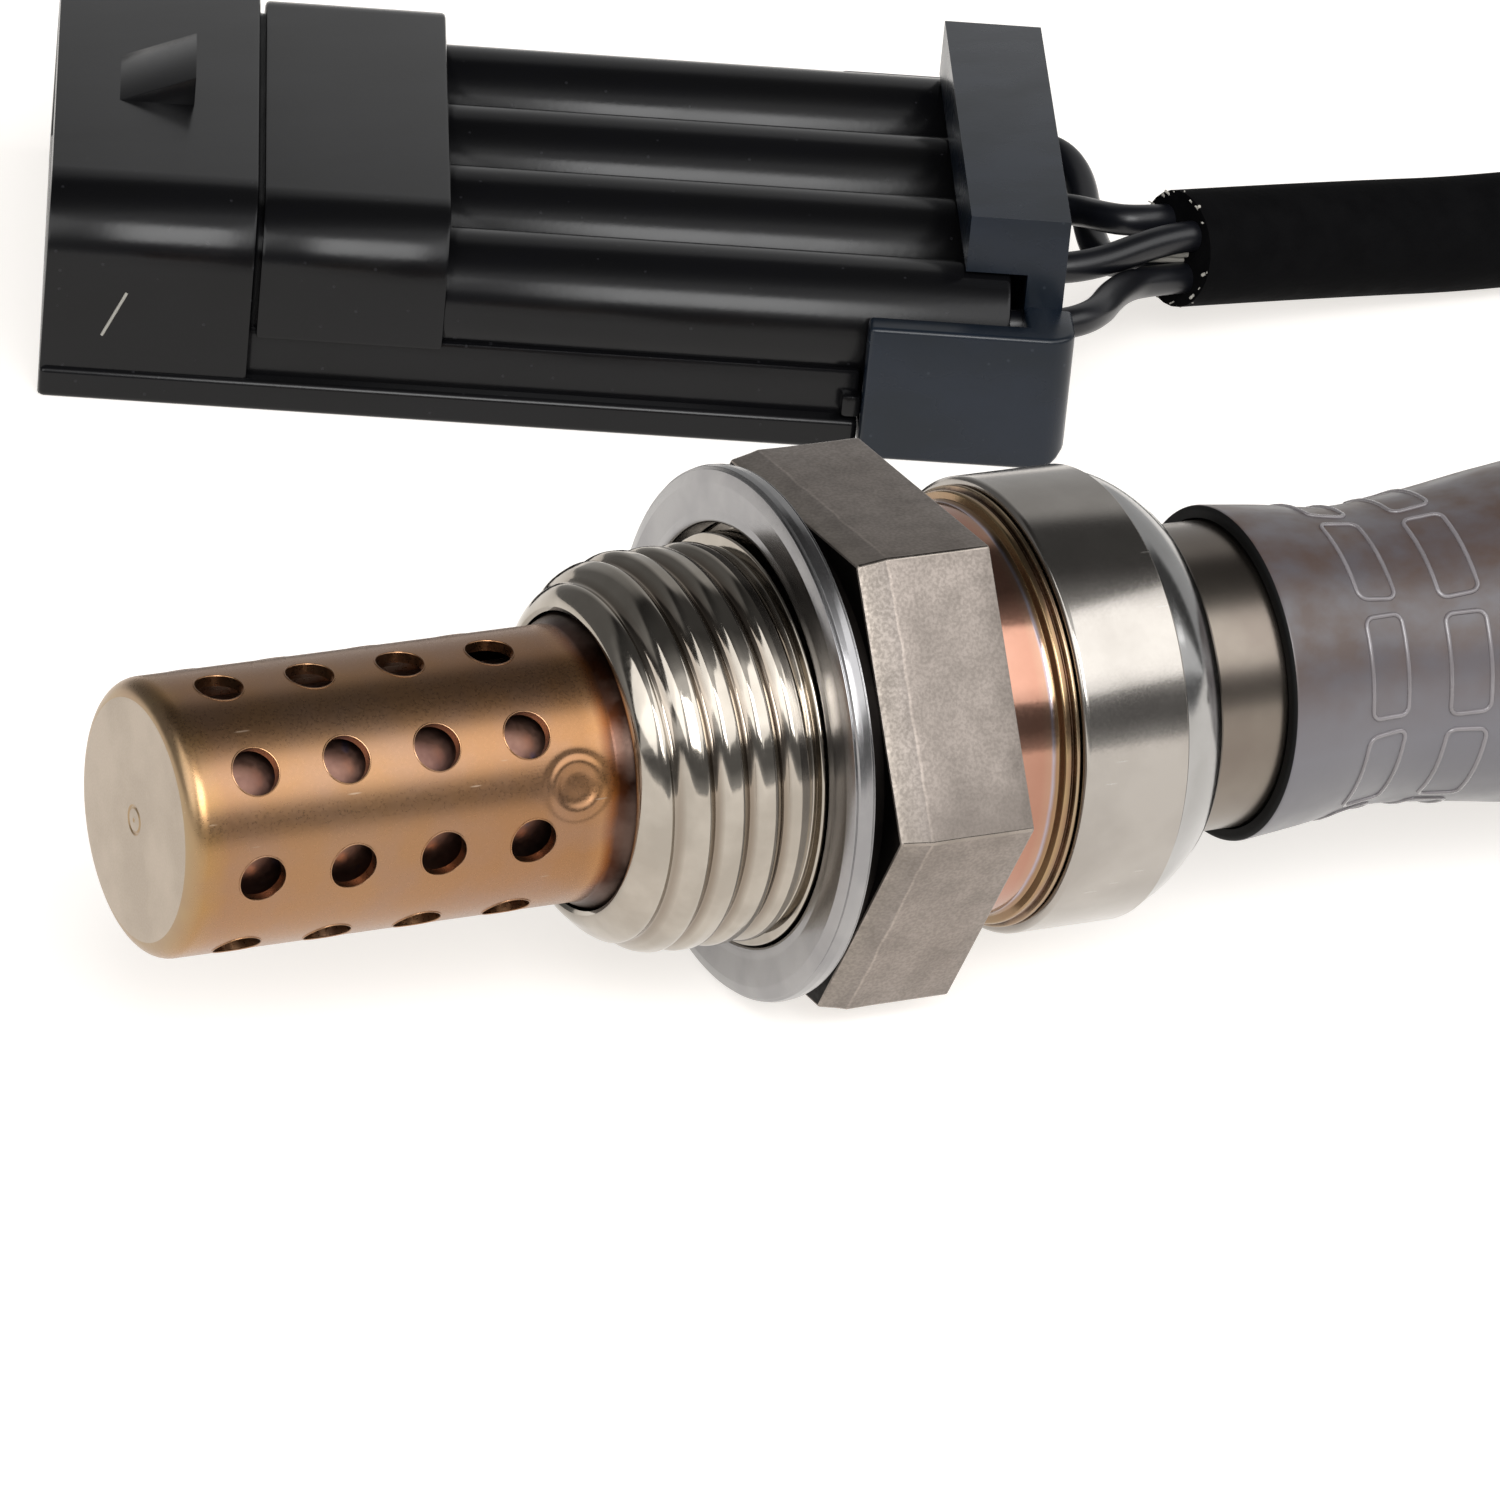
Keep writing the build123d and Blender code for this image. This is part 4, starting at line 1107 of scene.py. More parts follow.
@dataclass
class ProtectionTube:
    """Outer can: blunt rounded tip, rows of gas holes, a pressed dimple and a flare into the shell."""

    tip: float = -28.4
    # Centre mark and ring of the tip's face, as corners behind the tip.
    tip_face: tuple[tuple[float, ...], ...] = (
        (0.03, 0), (-0.02, 0.12, 0.03), (0, 0.2, 0.03), (0, 0.5, 0.03), (0.05, 0.6, 0.03), (0, 0.7, 0.03))
    radius: float = 6.2
    wall: float = 0.5
    bend: float = 1.3
    root: float = -4.57
    skirt: float = 6.65
    flare_start: float = -8.0
    flare_end: float = -7.15
    flare_bend: float = 0.4
    hole: float = 2.15
    hole_first: float = 3.4
    hole_pitch: float = 4.33
    hole_count: int = 4
    rows: int = 8
    row_turn: float = math.radians(3.6)
    drill: tuple[float, float] = (4.9, 7.2)     # radii between which the drills reach
    burr: float = 0.04
    dimple_station: float = 18.5
    dimple_turn: float = math.radians(72.6)
    dimple_radius: float = 1.45
    dimple_ring: float = 0.05
    dimple_bowl: float = 0.9
    dimple_depth: float = 0.2

    def build(self) -> None:
        """Models, dresses and hands over the can."""
        piece = self._can()
        self._press_dimple(piece)
        combine(piece, self._drills(), Work.CUT)
        piece = join("outer_gas_can", [piece] + self._rims())
        pick(piece)
        bpy.ops.object.shade_smooth_by_angle(angle=SMOOTH_ANGLE)
        WARDROBE.put_on(piece, BRONZE, TIP_DISC)
        number_faces(piece, lambda face: face.normal.x < -AXIAL and face.center.x < (self.tip + 0.1) * MM)
        hand_over(piece, "heat_tinted_steel", "protection_tube")

    def _can(self) -> bpy.types.Object:
        """Closed can with even rings of vertices along it.

        Returns:
            The can.
        """
        r, t = self.radius, self.wall
        straight = self.tip + 2.0
        rings = 60
        reach = self.flare_start - straight
        return lathe("outer_gas_can", [
            *((self.tip + x, *rest) for x, *rest in self.tip_face), (self.tip, r, self.bend),
            *((straight + reach * i / rings, r) for i in range(rings)),
            (self.flare_start, r, self.flare_bend), (self.flare_end, self.skirt, self.flare_bend),
            (self.root, self.skirt), (self.root, self.skirt - t), (self.flare_end + 0.2, self.skirt - t),
            (self.flare_start + 0.2, r - t), (self.tip + t, r - t, self.bend - t), (self.tip + t, 0)], 240)

    def _holes(self) -> list[tuple[float, float]]:
        """Station and turn of every gas hole.

        Returns:
            Pairs of both.
        """
        first = self.tip + self.hole_first
        return [(first + self.hole_pitch * i, self.row_turn + FULL_TURN * row / self.rows)
                for row in range(self.rows) for i in range(self.hole_count)]

    def _drills(self) -> bpy.types.Object:
        """All gas holes as one cutter.

        Returns:
            The cutter.
        """
        low, high = self.drill
        return join("drills", [bar("drill", around(x, turn, low), around(x, turn, high), self.hole / 2, 40)
                               for x, turn in self._holes()])

    def _rims(self) -> list[bpy.types.Object]:
        """Fine raised burr round each gas hole, left by the punch.

        Returns:
            The burrs.
        """
        rims = []
        for station, turn in self._holes():
            deselect()
            bpy.ops.mesh.primitive_torus_add(
                major_radius=(self.hole / 2 + 0.03) * MM, minor_radius=self.burr * MM, major_segments=48,
                minor_segments=8)
            rim = bpy.context.active_object
            for vertex in rim.data.vertices:
                x, round_way, height = (c / MM for c in vertex.co)
                out = self.radius - 0.005 + height
                vertex.co = around(station + x, turn + round_way / self.radius, out) * MM
            rims.append(rim)
        return rims

    def _press_dimple(self, piece: bpy.types.Object) -> None:
        """Presses the plain round dimple and the faint ring of its punch into the can's wall.

        Args:
            piece: the can.
        """
        centre_x = self.tip + self.dimple_station
        out = around(0, self.dimple_turn, 1)
        round_way = around(0, self.dimple_turn + math.pi / 2, 1)
        near = self.dimple_radius * 1.5
        inner = self.radius - 0.1
        pick(piece)
        bpy.ops.object.mode_set(mode="EDIT")
        bpy.ops.mesh.select_mode(type="FACE")
        bpy.ops.mesh.select_all(action="DESELECT")
        mesh = bmesh.from_edit_mesh(piece.data)
        for face in mesh.faces:
            middle = face.calc_center_median() / MM
            beside = abs(middle.x - centre_x) < near and abs(middle.dot(round_way)) < near
            face.select_set(beside and middle.dot(out) > 0 and math.hypot(middle.y, middle.z) > inner)
        bmesh.update_edit_mesh(piece.data)
        bpy.ops.mesh.subdivide(number_cuts=3)
        bpy.ops.object.mode_set(mode="OBJECT")
        for vertex in piece.data.vertices:
            place = vertex.co / MM
            radius = math.hypot(place.y, place.z)
            if radius >= inner and place.dot(out) >= 0:
                shift = 1 - self._dimple_sink(place.x - centre_x, place.dot(round_way)) / radius
                vertex.co.y *= shift
                vertex.co.z *= shift

    def _dimple_sink(self, u: float, v: float) -> float:
        """How far the wall sinks at a place: the punch's faint ring and a soft bowl.

        Args:
            u: how far the place is from the dimple's middle along the can.
            v: how far it is round the can.

        Returns:
            The depth.
        """
        distance = math.hypot(u, v)
        ring = self.dimple_ring * math.exp(-((distance - self.dimple_radius) / 0.2) ** 2)
        bowl = self.dimple_depth / (1 + math.exp((distance / self.dimple_bowl - 1) * 7))
        return ring + bowl


@dataclass
class RearSleeve:
    """Rear sleeve: drum with a seam line and a polished shoulder, then the narrow tail."""

    front: float = 13.05
    rear: float = 21.1
    radius: float = 10.4
    wall: float = 0.8
    seam: float = 18.3
    shoulder: float = 8.5
    swell: float = 0.27
    tail: float = 7.05
    tail_wall: float = 0.6
    tail_overlap: float = 0.3
    taper_start: float = 29.0
    taper_end: float = 31.0
    neck: float = 6.2
    end: float = 34.6
    shell_neck: float = 9.4
    shell_neck_end: float = 15.6

    def build(self) -> None:
        """Models, dresses and hands over the drum and its tail."""
        drum = self._drum()
        WARDROBE.put_on(drum, SATIN, SHOULDER)
        number_faces(drum, lambda face: face.center.x > (self.seam + 0.03) * MM)
        hand_over(drum, "satin_nickel", "rear_ferrule")
        tail = self._tail()
        WARDROBE.put_on(tail, WARM_SATIN)
        hand_over(tail, "satin_nickel", "rear_ferrule")

    def _drum(self) -> bpy.types.Object:
        """Drum over the shell's neck, with its seam and rolled shoulder.

        Returns:
            The drum.
        """
        r, t, rear = self.radius, self.wall, self.rear
        return lathe("rear_drum", [
            (self.front, self.shell_neck), (self.front, r, 0.3), (self.seam - 0.06, r, 0.05),
            (self.seam, r - 0.2, 0.02), (self.seam + 0.05, r - 0.15), *self._shoulder_points(),
            (rear - 0.25, self.shoulder + 0.26), (rear, self.shoulder, 0.25), (rear, self.tail, 0.15),
            (rear + 0.4, self.tail), (rear + 0.4, self.tail - t), (rear - t, self.tail - t),
            (rear - t, self.shoulder - t / 2), (self.seam, r - t), (self.shell_neck_end, r - t),
            (self.shell_neck_end, self.shell_neck), (self.front, self.shell_neck)], 240)

    def _tail(self) -> bpy.types.Object:
        """Narrow tail with the neck that grips the grommet.

        Returns:
            The tail.
        """
        w, start = self.tail_wall, self.rear - self.tail_overlap
        return lathe("rear_tail", [
            (start, self.tail), (self.taper_start, self.tail, 1.0), (self.taper_end, self.neck, 1.0),
            (self.end, self.neck, 0.1), (self.end, self.neck - w, 0.1), (self.taper_end, self.neck - w),
            (self.taper_start, self.tail - w), (start, self.tail - w), (start, self.tail)])

    def _shoulder_points(self) -> Outline:
        """Points of the shoulder's curve, from the seam towards its rear edge.

        Returns:
            The points.
        """
        points = []
        steps = 14
        start_r = self.radius - 0.15
        for i in range(1, steps):
            t = i / steps
            cone = start_r + (self.shoulder - start_r) * t
            points.append((self.seam + (self.rear - self.seam) * t, cone + 4 * self.swell * t * (1 - t)))
        return points


@dataclass
class Boot:
    """Moulded boot: grips the tail, narrows, swells and tapers to the lead, with raised outlines round it."""

    stations: tuple[tuple[float, float], ...] = (
        (25.2, 7.75), (28.3, 7.4), (32.0, 6.9), (36.0, 7.2), (40.7, 7.82), (44.5, 8.1), (51.0, 7.35),
        (58.0, 5.85), (64.0, 4.8), (69.0, 4.2))
    rim_bend: float = 0.3
    bore: float = 2.5
    bore_start: float = 46.0
    front_bore: float = 7.15
    pocket: float = 6.3
    line_rows: tuple[float, ...] = (30.6, 34.8)
    line_length: float = 2.0
    line_span: float = 4.7
    line_width: float = 0.24
    line_bend: float = 0.42
    line_count: int = 8
    line_turn: float = math.radians(68)
    row_shift: float = math.radians(2.5)

    def radius(self, x: float) -> float:
        """Outer radius at a station, by a smooth curve through the stations.

        Args:
            x: the station.

        Returns:
            The radius.
        """
        points = self.stations
        i = max(k for k in range(len(points) - 1) if points[k][0] <= x or k == 0)
        before = points[max(i - 1, 0)]
        start, end = points[i], points[i + 1]
        after = points[min(i + 2, len(points) - 1)]
        run = end[0] - start[0]
        t = (x - start[0]) / run
        slope_in = (end[1] - before[1]) / max(end[0] - before[0], 0.001) * run
        slope_out = (after[1] - start[1]) / (after[0] - start[0]) * run
        return ((2 * t ** 3 - 3 * t ** 2 + 1) * start[1] + (t ** 3 - 2 * t ** 2 + t) * slope_in
                + (3 * t ** 2 - 2 * t ** 3) * end[1] + (t ** 3 - t ** 2) * slope_out)

    def build(self) -> None:
        """Models, dresses and hands over the boot and its lines."""
        (first, first_r), (last, last_r) = self.stations[0], self.stations[-1]
        count = 110
        skin = [(x, self.radius(x)) for x in (first + (last - first) * i / count for i in range(2, count))]
        piece = lathe("moulded_boot", [
            (first, self.front_bore), (first, first_r, self.rim_bend), *skin, (last, last_r, 0.5),
            (last, self.bore, 0.15), (self.bore_start, self.bore), (35.6, self.pocket), (31.0, self.pocket),
            (29.0, self.front_bore), (first, self.front_bore)])
        WARDROBE.put_on(piece, BOOT_RUBBER, BOOT_CUT_AND_SHADE)
        # Front rim and bore take the near-black, partly painted shade.
        number_faces(piece, self._is_cut)
        hand_over(piece, "boot_rubber", "boot")
        lines = self._lines()
        WARDROBE.put_on(lines, BOOT_LINE)
        hand_over(lines, "boot_rubber")

    def _is_cut(self, face: bpy.types.MeshPolygon) -> bool:
        """Whether a face belongs to the front rim or the bore.

        Args:
            face: the face.

        Returns:
            Whether it does.
        """
        outward = face.normal.y * face.center.y + face.normal.z * face.center.z
        at_front = face.center.x < (self.stations[0][0] + 0.2) * MM and face.normal.x < -0.35
        return at_front or outward < 0

    def _lines(self) -> bpy.types.Object:
        """Raised outlines: one flat rounded frame, copied and wrapped onto the boot's skin.

        Returns:
            All outlines as one piece.
        """
        copies = []
        for row, station in enumerate(self.line_rows):
            for i in range(self.line_count):
                turn = self.line_turn + FULL_TURN * i / self.line_count + self.row_shift * row
                copies.append(self._wrapped(self._flat_frame(), station, turn))
        return join("boot_raised_lines", copies)

    def _flat_frame(self) -> bpy.types.Object:
        """Rounded frame that lies flat: X along the boot, Y round it, Z out of it.

        Returns:
            The frame.
        """
        deselect()
        bpy.ops.mesh.primitive_plane_add(size=1)
        piece = bpy.context.active_object
        piece.scale = (self.line_length * MM, self.line_span * MM, 1)
        settle(piece)
        bpy.ops.object.mode_set(mode="EDIT")
        bpy.ops.mesh.select_all(action="SELECT")
        bpy.ops.mesh.bevel(offset=self.line_bend * MM, segments=4, affect="VERTICES")
        bpy.ops.mesh.select_all(action="SELECT")
        bpy.ops.mesh.delete(type="ONLY_FACE")
        bpy.ops.mesh.select_all(action="SELECT")
        bpy.ops.mesh.subdivide(number_cuts=5)
        bpy.ops.object.mode_set(mode="OBJECT")
        bpy.ops.object.convert(target="CURVE")
        piece = bpy.context.active_object
        piece.data.bevel_depth = self.line_width / 2 * MM
        piece.data.bevel_resolution = 1
        bpy.ops.object.convert(target="MESH")
        return bpy.context.active_object

    def _wrapped(self, frame: bpy.types.Object, station: float, turn: float) -> bpy.types.Object:
        """Wraps a flat frame round the boot, half sunk into its skin.

        Args:
            frame: the frame.
            station: where its middle comes.
            turn: its turn about the axis.

        Returns:
            The frame.
        """
        for vertex in frame.data.vertices:
            x, round_way, height = (c / MM for c in vertex.co)
            skin = self.radius(station + x)
            vertex.co = around(station + x, turn + round_way / skin, skin + height * 0.8 + 0.01) * MM
        pick(frame)
        bpy.ops.object.shade_smooth()
        return frame


# ------------------------------------------------------------------ plug, modelled with its mouth at X = 0

@dataclass
class Plug:
    """Flat four-way housing: shroud, band, four way tubes with a web, skirt and sill."""

    place: Point = (3.29, 81.77, -12.1)
    turn: float = math.radians(-24.45)
    ways: tuple[float, ...] = (-12.0, -4.0, 4.0, 12.0)
    tube: float = 3.2
    way_height: float = 5.5
    web_half: float = 1.0
    seal_start: float = 40.0
    seal_bore: float = 2.4
    half: float = 15.7
    height: float = 10.8
    shroud: float = 10.3
    wall: float = 1.4
    bend: float = 3.8
    foot_bend: float = 0.8
    mouth_foot_bend: float = 0.5
    mouth: float = 15.0
    root_inset: float = 1.0
    band_end: float = 19.9
    band_inset: float = 0.35
    band_low: float = 3.65
    length: float = 48.0
    lock_front: float = 40.8
    skirt: float = 4.0
    skirt_inset: float = 0.6
    sill: float = 1.6
    sill_out: float = 0.25
    nub: Point = (0.9, 1.7, 2.9)    # its length, and the heights of its foot and top
    ramp_half: float = 3.0
    ramp: tuple[float, float] = (3.0, 7.0)
    ramp_rise: float = 1.5
    dash: tuple[tuple[float, float], tuple[float, float]] = ((3.0, 3.45), (4.1, 5.8))
    dash_radius: float = 0.08

    def frame(self) -> Matrix:
        """Place of the plug in the part's frame, in metres."""
        return Matrix.Translation(Vector(self.place) * MM) @ Matrix.Rotation(self.turn, 4, "Z")

    def point(self, u: float, v: float, w: float) -> Vector:
        """A point of the plug in the part's frame, in millimetres."""
        return Matrix.Rotation(self.turn, 3, "Z") @ Vector((u, v, w)) + Vector(self.place)

    def build(self) -> None:
        """Models, dresses and hands over the housing."""
        parts = [self._shroud(), self._band(), self._skirt(), self._way_tubes(), self._ramp()]
        piece = join("plug_shell", parts)
        WARDROBE.put_on(piece, PLUG_NYLON)
        piece = join("plug_shell", [piece, self._dash()])
        piece.data.transform(self.frame())
        hand_over(piece, "plug_plastic", "plug_housing")

    def _dash(self) -> bpy.types.Object:
        """Short pale paint dash on the near side of the shroud.

        Returns:
            The dash, dressed.
        """
        low, high = (Vector((u, -self.half, w)) for u, w in self.dash)
        piece = bar("dash", low, high, self.dash_radius, 12)
        WARDROBE.put_on(piece, PALE_THREAD)
        return piece

    def _shroud(self) -> bpy.types.Object:
        """Open shroud on a rounded root, with the mouth cut out of both.

        Returns:
            The shroud.
        """
        piece = block("shroud", (0, -self.half, 0), (self.shroud, self.half, self.height))
        round_long_edges(piece, self.bend, top=True, segments=12)
        round_long_edges(piece, self.foot_bend, top=False, segments=4)
        hollow_half = self.half - self.wall
        hollow = block("mouth", (-REACH, -hollow_half, self.wall),
                       (self.mouth, hollow_half, self.height - self.wall))
        round_long_edges(hollow, self.bend - self.wall, top=True, segments=10)
        round_long_edges(hollow, self.mouth_foot_bend, top=False, segments=3)
        root_half = self.half - self.root_inset
        root = block("shroud_root", (self.shroud - 0.5, -root_half, 0.6),
                     (self.mouth + 1.2, root_half, self.height - self.root_inset))
        round_long_edges(root, self.bend - self.root_inset, top=True, segments=10)
        combine(piece, root, Work.ADD)
        combine(piece, hollow, Work.CUT)
        ease_edges(piece, 0.16, 2, 50.0)
        return piece

    def _band(self) -> bpy.types.Object:
        """Band behind the shroud, a little lower and narrower, cut off above the skirt.

        Returns:
            The band.
        """
        half = self.half - self.band_inset
        piece = block("band", (self.shroud + 0.3, -half, self.band_low),
                      (self.band_end, half, self.height - self.band_inset))
        round_long_edges(piece, self.bend - self.band_inset, top=True, segments=12)
        ease_edges(piece, 0.2, 2, 50.0)
        return piece

    def _skirt(self) -> bpy.types.Object:
        """Skirt under the ways, the sill that it stands on and the nub in front of the lock.

        Returns:
            All three as one piece.
        """
        half = self.half - self.skirt_inset
        skirt = block("skirt", (self.shroud - 0.2, -half, 0.2), (self.lock_front, half, self.skirt))
        ease_edges(skirt, 0.25, 2)
        stand = self.half + self.sill_out
        sill = block("sill", (0.02, -stand, 0), (self.lock_front, stand, self.sill))
        ease_edges(sill, 0.3, 3)
        length, low, high = self.nub
        nub = block("nub", (self.lock_front - length, -stand + 0.1, low),
                    (self.lock_front + 0.1, -half + 0.6, high))
        ease_edges(nub, 0.25, 2)
        return join("skirt", [skirt, sill, nub])

    def _way_tubes(self) -> bpy.types.Object:
        """Four way tubes, each bored for its seal, and the web between them.

        Returns:
            Tubes and web as one piece.
        """
        tubes = []
        for v in self.ways:
            end = Vector((self.length, v, self.way_height))
            tube = bar("way", Vector((self.band_end - 0.8, v, self.way_height)), end, self.tube, 96)
            start = Vector((self.seal_start, v, self.way_height))
            bore = bar("seal_bore", start, end + Vector((REACH, 0, 0)), self.seal_bore, 48)
            combine(tube, bore, Work.CUT)
            ease_edges(tube, 0.2, 2)
            tubes.append(tube)
        web = block("web", (self.band_end - 0.5, self.ways[0], self.way_height - self.web_half),
                    (self.length - 0.4, self.ways[-1], self.way_height + self.web_half))
        return join("ways", tubes + [web])

    def _ramp(self) -> bpy.types.Object:
        """Latch ramp on top of the shroud: a block whose front edge is pressed down to the skin.

        Returns:
            The ramp.
        """
        start, end = self.ramp
        piece = block("ramp", (start, -self.ramp_half, self.height - 0.2),
                      (end, self.ramp_half, self.height + self.ramp_rise))
        for vertex in piece.data.vertices:
            if vertex.co.x < (start + 0.5) * MM and vertex.co.z > self.height * MM:
                vertex.co.z = (self.height - 0.1) * MM
        ease_edges(piece, 0.15, 2, 15.0)
        return piece


@dataclass
class RearLock:
    """Rear lock: arms and floor round the ways, a strap over them and a slotted end plate."""

    plug: Plug
    front: float = 40.9
    rear: float = 51.2
    half: float = 16.9
    inner_half: float = 15.3
    arm_height: float = 7.1
    floor: float = 1.3
    rear_bend: float = 1.4
    plate_rear: float = 50.7
    plate: float = 1.9
    exit: float = 1.25
    strap_half: float = 12.9
    strap_low: float = 8.8
    strap_high: float = 11.8
    strap_length: float = 5.0

    def build(self) -> None:
        """Models, dresses and hands over the lock."""
        whole = join("rear_lock_shell", [self._arms(), self._strap()])
        whole.data.transform(self.plug.frame())
        WARDROBE.put_on(whole, LOCK_NYLON)
        hand_over(whole, "lock_plastic", "rear_lock")

    def _arms(self) -> bpy.types.Object:
        """Arms and floor, hollowed from a block and rounded at the rear end.

        Returns:
            Arms and floor.
        """
        piece = block("arms", (self.front, -self.half, 0), (self.rear, self.half, self.arm_height))
        rear = self.rear * MM

        def upright_or_low(edge: bmesh.types.BMEdge) -> bool:
            """Whether an edge is an upright or a lower one of the rear end.

            Args:
                edge: the edge.

            Returns:
                Whether it is.
            """
            a, b = (v.co for v in edge.verts)
            at_rear = abs(a.x - rear) < WELD and abs(b.x - rear) < WELD
            return at_rear and (abs(a.z - b.z) > MM or (a.z < WELD and b.z < WELD))

        round_edges(piece, self.rear_bend, 6, upright_or_low)
        above = self.arm_height + REACH
        hollow = block("hollow", (self.front - REACH, -self.inner_half, self.floor),
                       (self.plate_rear - self.plate, self.inner_half, above))
        combine(piece, hollow, Work.CUT)
        recess = block("recess", (self.plate_rear, -self.strap_half, self.floor + 0.4),
                       (self.rear + REACH, self.strap_half, above))
        combine(piece, recess, Work.CUT)
        ease_edges(piece, 0.72, 4, 50.0)
        return piece

    def _strap(self) -> bpy.types.Object:
        """Strap and end plate, with a hole for each core.

        Returns:
            Strap and plate.
        """
        plate_front = self.plate_rear - self.plate
        piece = block("strap", (self.plate_rear - self.strap_length, -self.strap_half, self.strap_low),
                      (self.plate_rear, self.strap_half, self.strap_high))
        plate = block("plate", (plate_front, -self.strap_half, self.floor - 0.2),
                      (self.plate_rear, self.strap_half, self.strap_low + 0.6))
        combine(piece, plate, Work.ADD)
        for v in self.plug.ways:
            hole = bar("exit", Vector((plate_front - REACH, v, self.plug.way_height)),
                       Vector((self.rear + REACH, v, self.plug.way_height)), self.exit, 40)
            combine(piece, hole, Work.CUT)
        ease_edges(piece, 1.1, 5, 50.0)
        return piece


# ------------------------------------------------------------------ lead

@dataclass
class Lead:
    """Sleeved lead from the boot to the plug, and the cores that fan out of it."""

    plug: Plug
    radius: float = 3.0
    core: float = 0.8
    length: float = 259.9
    spread: float = 1.15
    run_in: float = 1.6
    seal_start: float = 39.9
    seal_end: float = 48.5
    route: tuple[Point, ...] = (
        (69.0, 0, 0), (84.5, 0, 0), (101.5, -2.2, -3.6), (119.5, -6.8, -7.9), (138.5, -8.8, -9.1),
        (155.7, -1.9, -9.1), (167.5, 12.3, -9.1), (171.2, 31.4, -9.1), (165.4, 49.5, -9.1),
        (151.8, 62.1, -9.1), (133.9, 66.6, -9.1), (115.0, 64.2, -9.1), (96.0, 60.9, -9.1),
        (76.3, 59.9, -8.95), (65.1, 59.4, -7.9), (55.8, 58.3, -6.9))
    core_bends: tuple[tuple[Point, ...], ...] = (
        ((52.4, -11.6, 6.0), (54.3, -4.2, 4.8)), ((52.4, -4.0, 5.5),), ((52.4, 4.0, 5.5), (54.2, 0.8, 6.4)),
        ((53.2, 12.0, 5.5), (53.5, 1.9, 3.6)))
    lining_count: int = 30
    # Filler threads: near side, height, length and radius of each.
    fillers: tuple[tuple[float, float, float, float], ...] = (
        (0.5, 0.25, 2.7, 0.26), (0.2, -0.45, 2.2, 0.22), (0.7, -0.3, 2.9, 0.2), (-0.4, 0.5, 1.1, 0.15),
        (0.95, 0.1, 2.4, 0.22))

    def build(self) -> None:
        """Models, dresses and hands over the sleeve, the cores and the pale threads at its end."""
        points = [Vector(p) for p in self.route]
        sleeve = tube_curve("lead_sleeve_cord", points, self.radius)
        WARDROBE.put_on(sleeve, SLEEVE)
        hand_over(sleeve, "sleeve_black", "lead_sleeve")
        numbers = range(1, len(self.plug.ways) + 1)
        cores = [self._core(number) for number in numbers]
        companions = ["plug_shell", "rear_lock_shell", self._threads().name] + [core.name for core in cores]
        companions += [f"{family}_{number}" for family in ("blade", "wire_seal") for number in numbers]

    def _end_frame(self) -> tuple[Vector, Vector, Vector, Vector]:
        """The sleeve's end at the plug.

        Returns:
            Its middle, the direction into the sleeve, and its near and upper side.
        """
        last, before = Vector(self.route[-1]), Vector(self.route[-2])
        along = (before - last).normalized()
        near = along.cross(Vector((0, 0, 1))).normalized()
        return last, along, near, near.cross(along)

    def _core(self, number: int) -> bpy.types.Object:
        """One core from inside its seal to the sleeve's end, handed over.

        Args:
            number: its number, from 1 at the near side.

        Returns:
            The core.
        """
        end, along, near, up = self._end_frame()
        side = near if number < 3 else -near
        height = up if number in (2, 3) else -up
        slot = end + side * self.spread + height * self.spread
        way = self.plug.ways[number - 1]
        straight = [self.plug.point(u, way, self.plug.way_height) for u in (self.seal_start, self.seal_end)]
        bends = [self.plug.point(*p) for p in self.core_bends[number - 1]]
        points = straight + bends + [slot - along * self.run_in, slot + along * 0.3]
        piece = tube_curve(f"core_{number}_wire", points, self.core, 8)
        WARDROBE.put_on(piece, WIRE)
        hand_over(piece, "core_black", f"core_{number}")
        return piece

    def _threads(self) -> bpy.types.Object:
        """Pale ends of filler threads between the cores, and of the lining round the sleeve's cut rim.

        Returns:
            All ends as one piece, handed over.
        """
        end, along, near, up = self._end_frame()
        rng = random.Random(7)
        bits = []
        for i in range(self.lining_count):
            turn = FULL_TURN * (i + rng.uniform(-0.6, 0.6)) / self.lining_count
            out = near * math.cos(turn) + up * math.sin(turn)
            start = end + out * (self.radius - 0.35) + along * 0.2
            tip = end + out * (self.radius - rng.uniform(-0.08, 0.2)) - along * rng.uniform(-0.15, 0.3)
            bits.append(bar("lining_end", start, tip, rng.uniform(0.03, 0.1), 8))
        for side, height, length, thick in self.fillers:
            start = end + near * side + up * height + along * 0.2
            tip = start - along * (length + 0.2) + up * 0.2
            bits.append(bar("filler_end", start, tip, thick, 12))
        piece = join("pale_thread_ends", bits)
        ease_edges(piece, 0.05, 1)
        WARDROBE.put_on(piece, PALE_THREAD)
        hand_over(piece, "sleeve_black")
        return piece


# ------------------------------------------------------------------ solids that stay as they are

KEPT_FINISHES = {
    "inner_tube": PINK_STAINLESS, "seal_washer": PLAIN_STEEL, "sensing_element": ZIRCONIA,
    "heater_rod": ALUMINA, "talc_ring": TALC, "ceramic_bush": ALUMINA, "packing_ring": PLAIN_STEEL,
    "terminal_insulator": ALUMINA, "grommet": SEAL_RUBBER, "contact": SPRING_STRIP, "blade": TINNED_BRASS,
    "wire_seal": SEAL_RUBBER, "core_tail": WIRE,
}


def dress_kept(frame: dict) -> None:
    """Gives the solids that stay visible their finishes.

    Args:
        frame: the part's frame.
    """
    for name, node in frame["nodes"].items():
        finish = KEPT_FINISHES.get(name.rstrip("0123456789_"))
        if finish is not None:
            WARDROBE.put_on(node, finish)
            LOG.info("%s: %s", name, finish.name)


# ------------------------------------------------------------------ studio

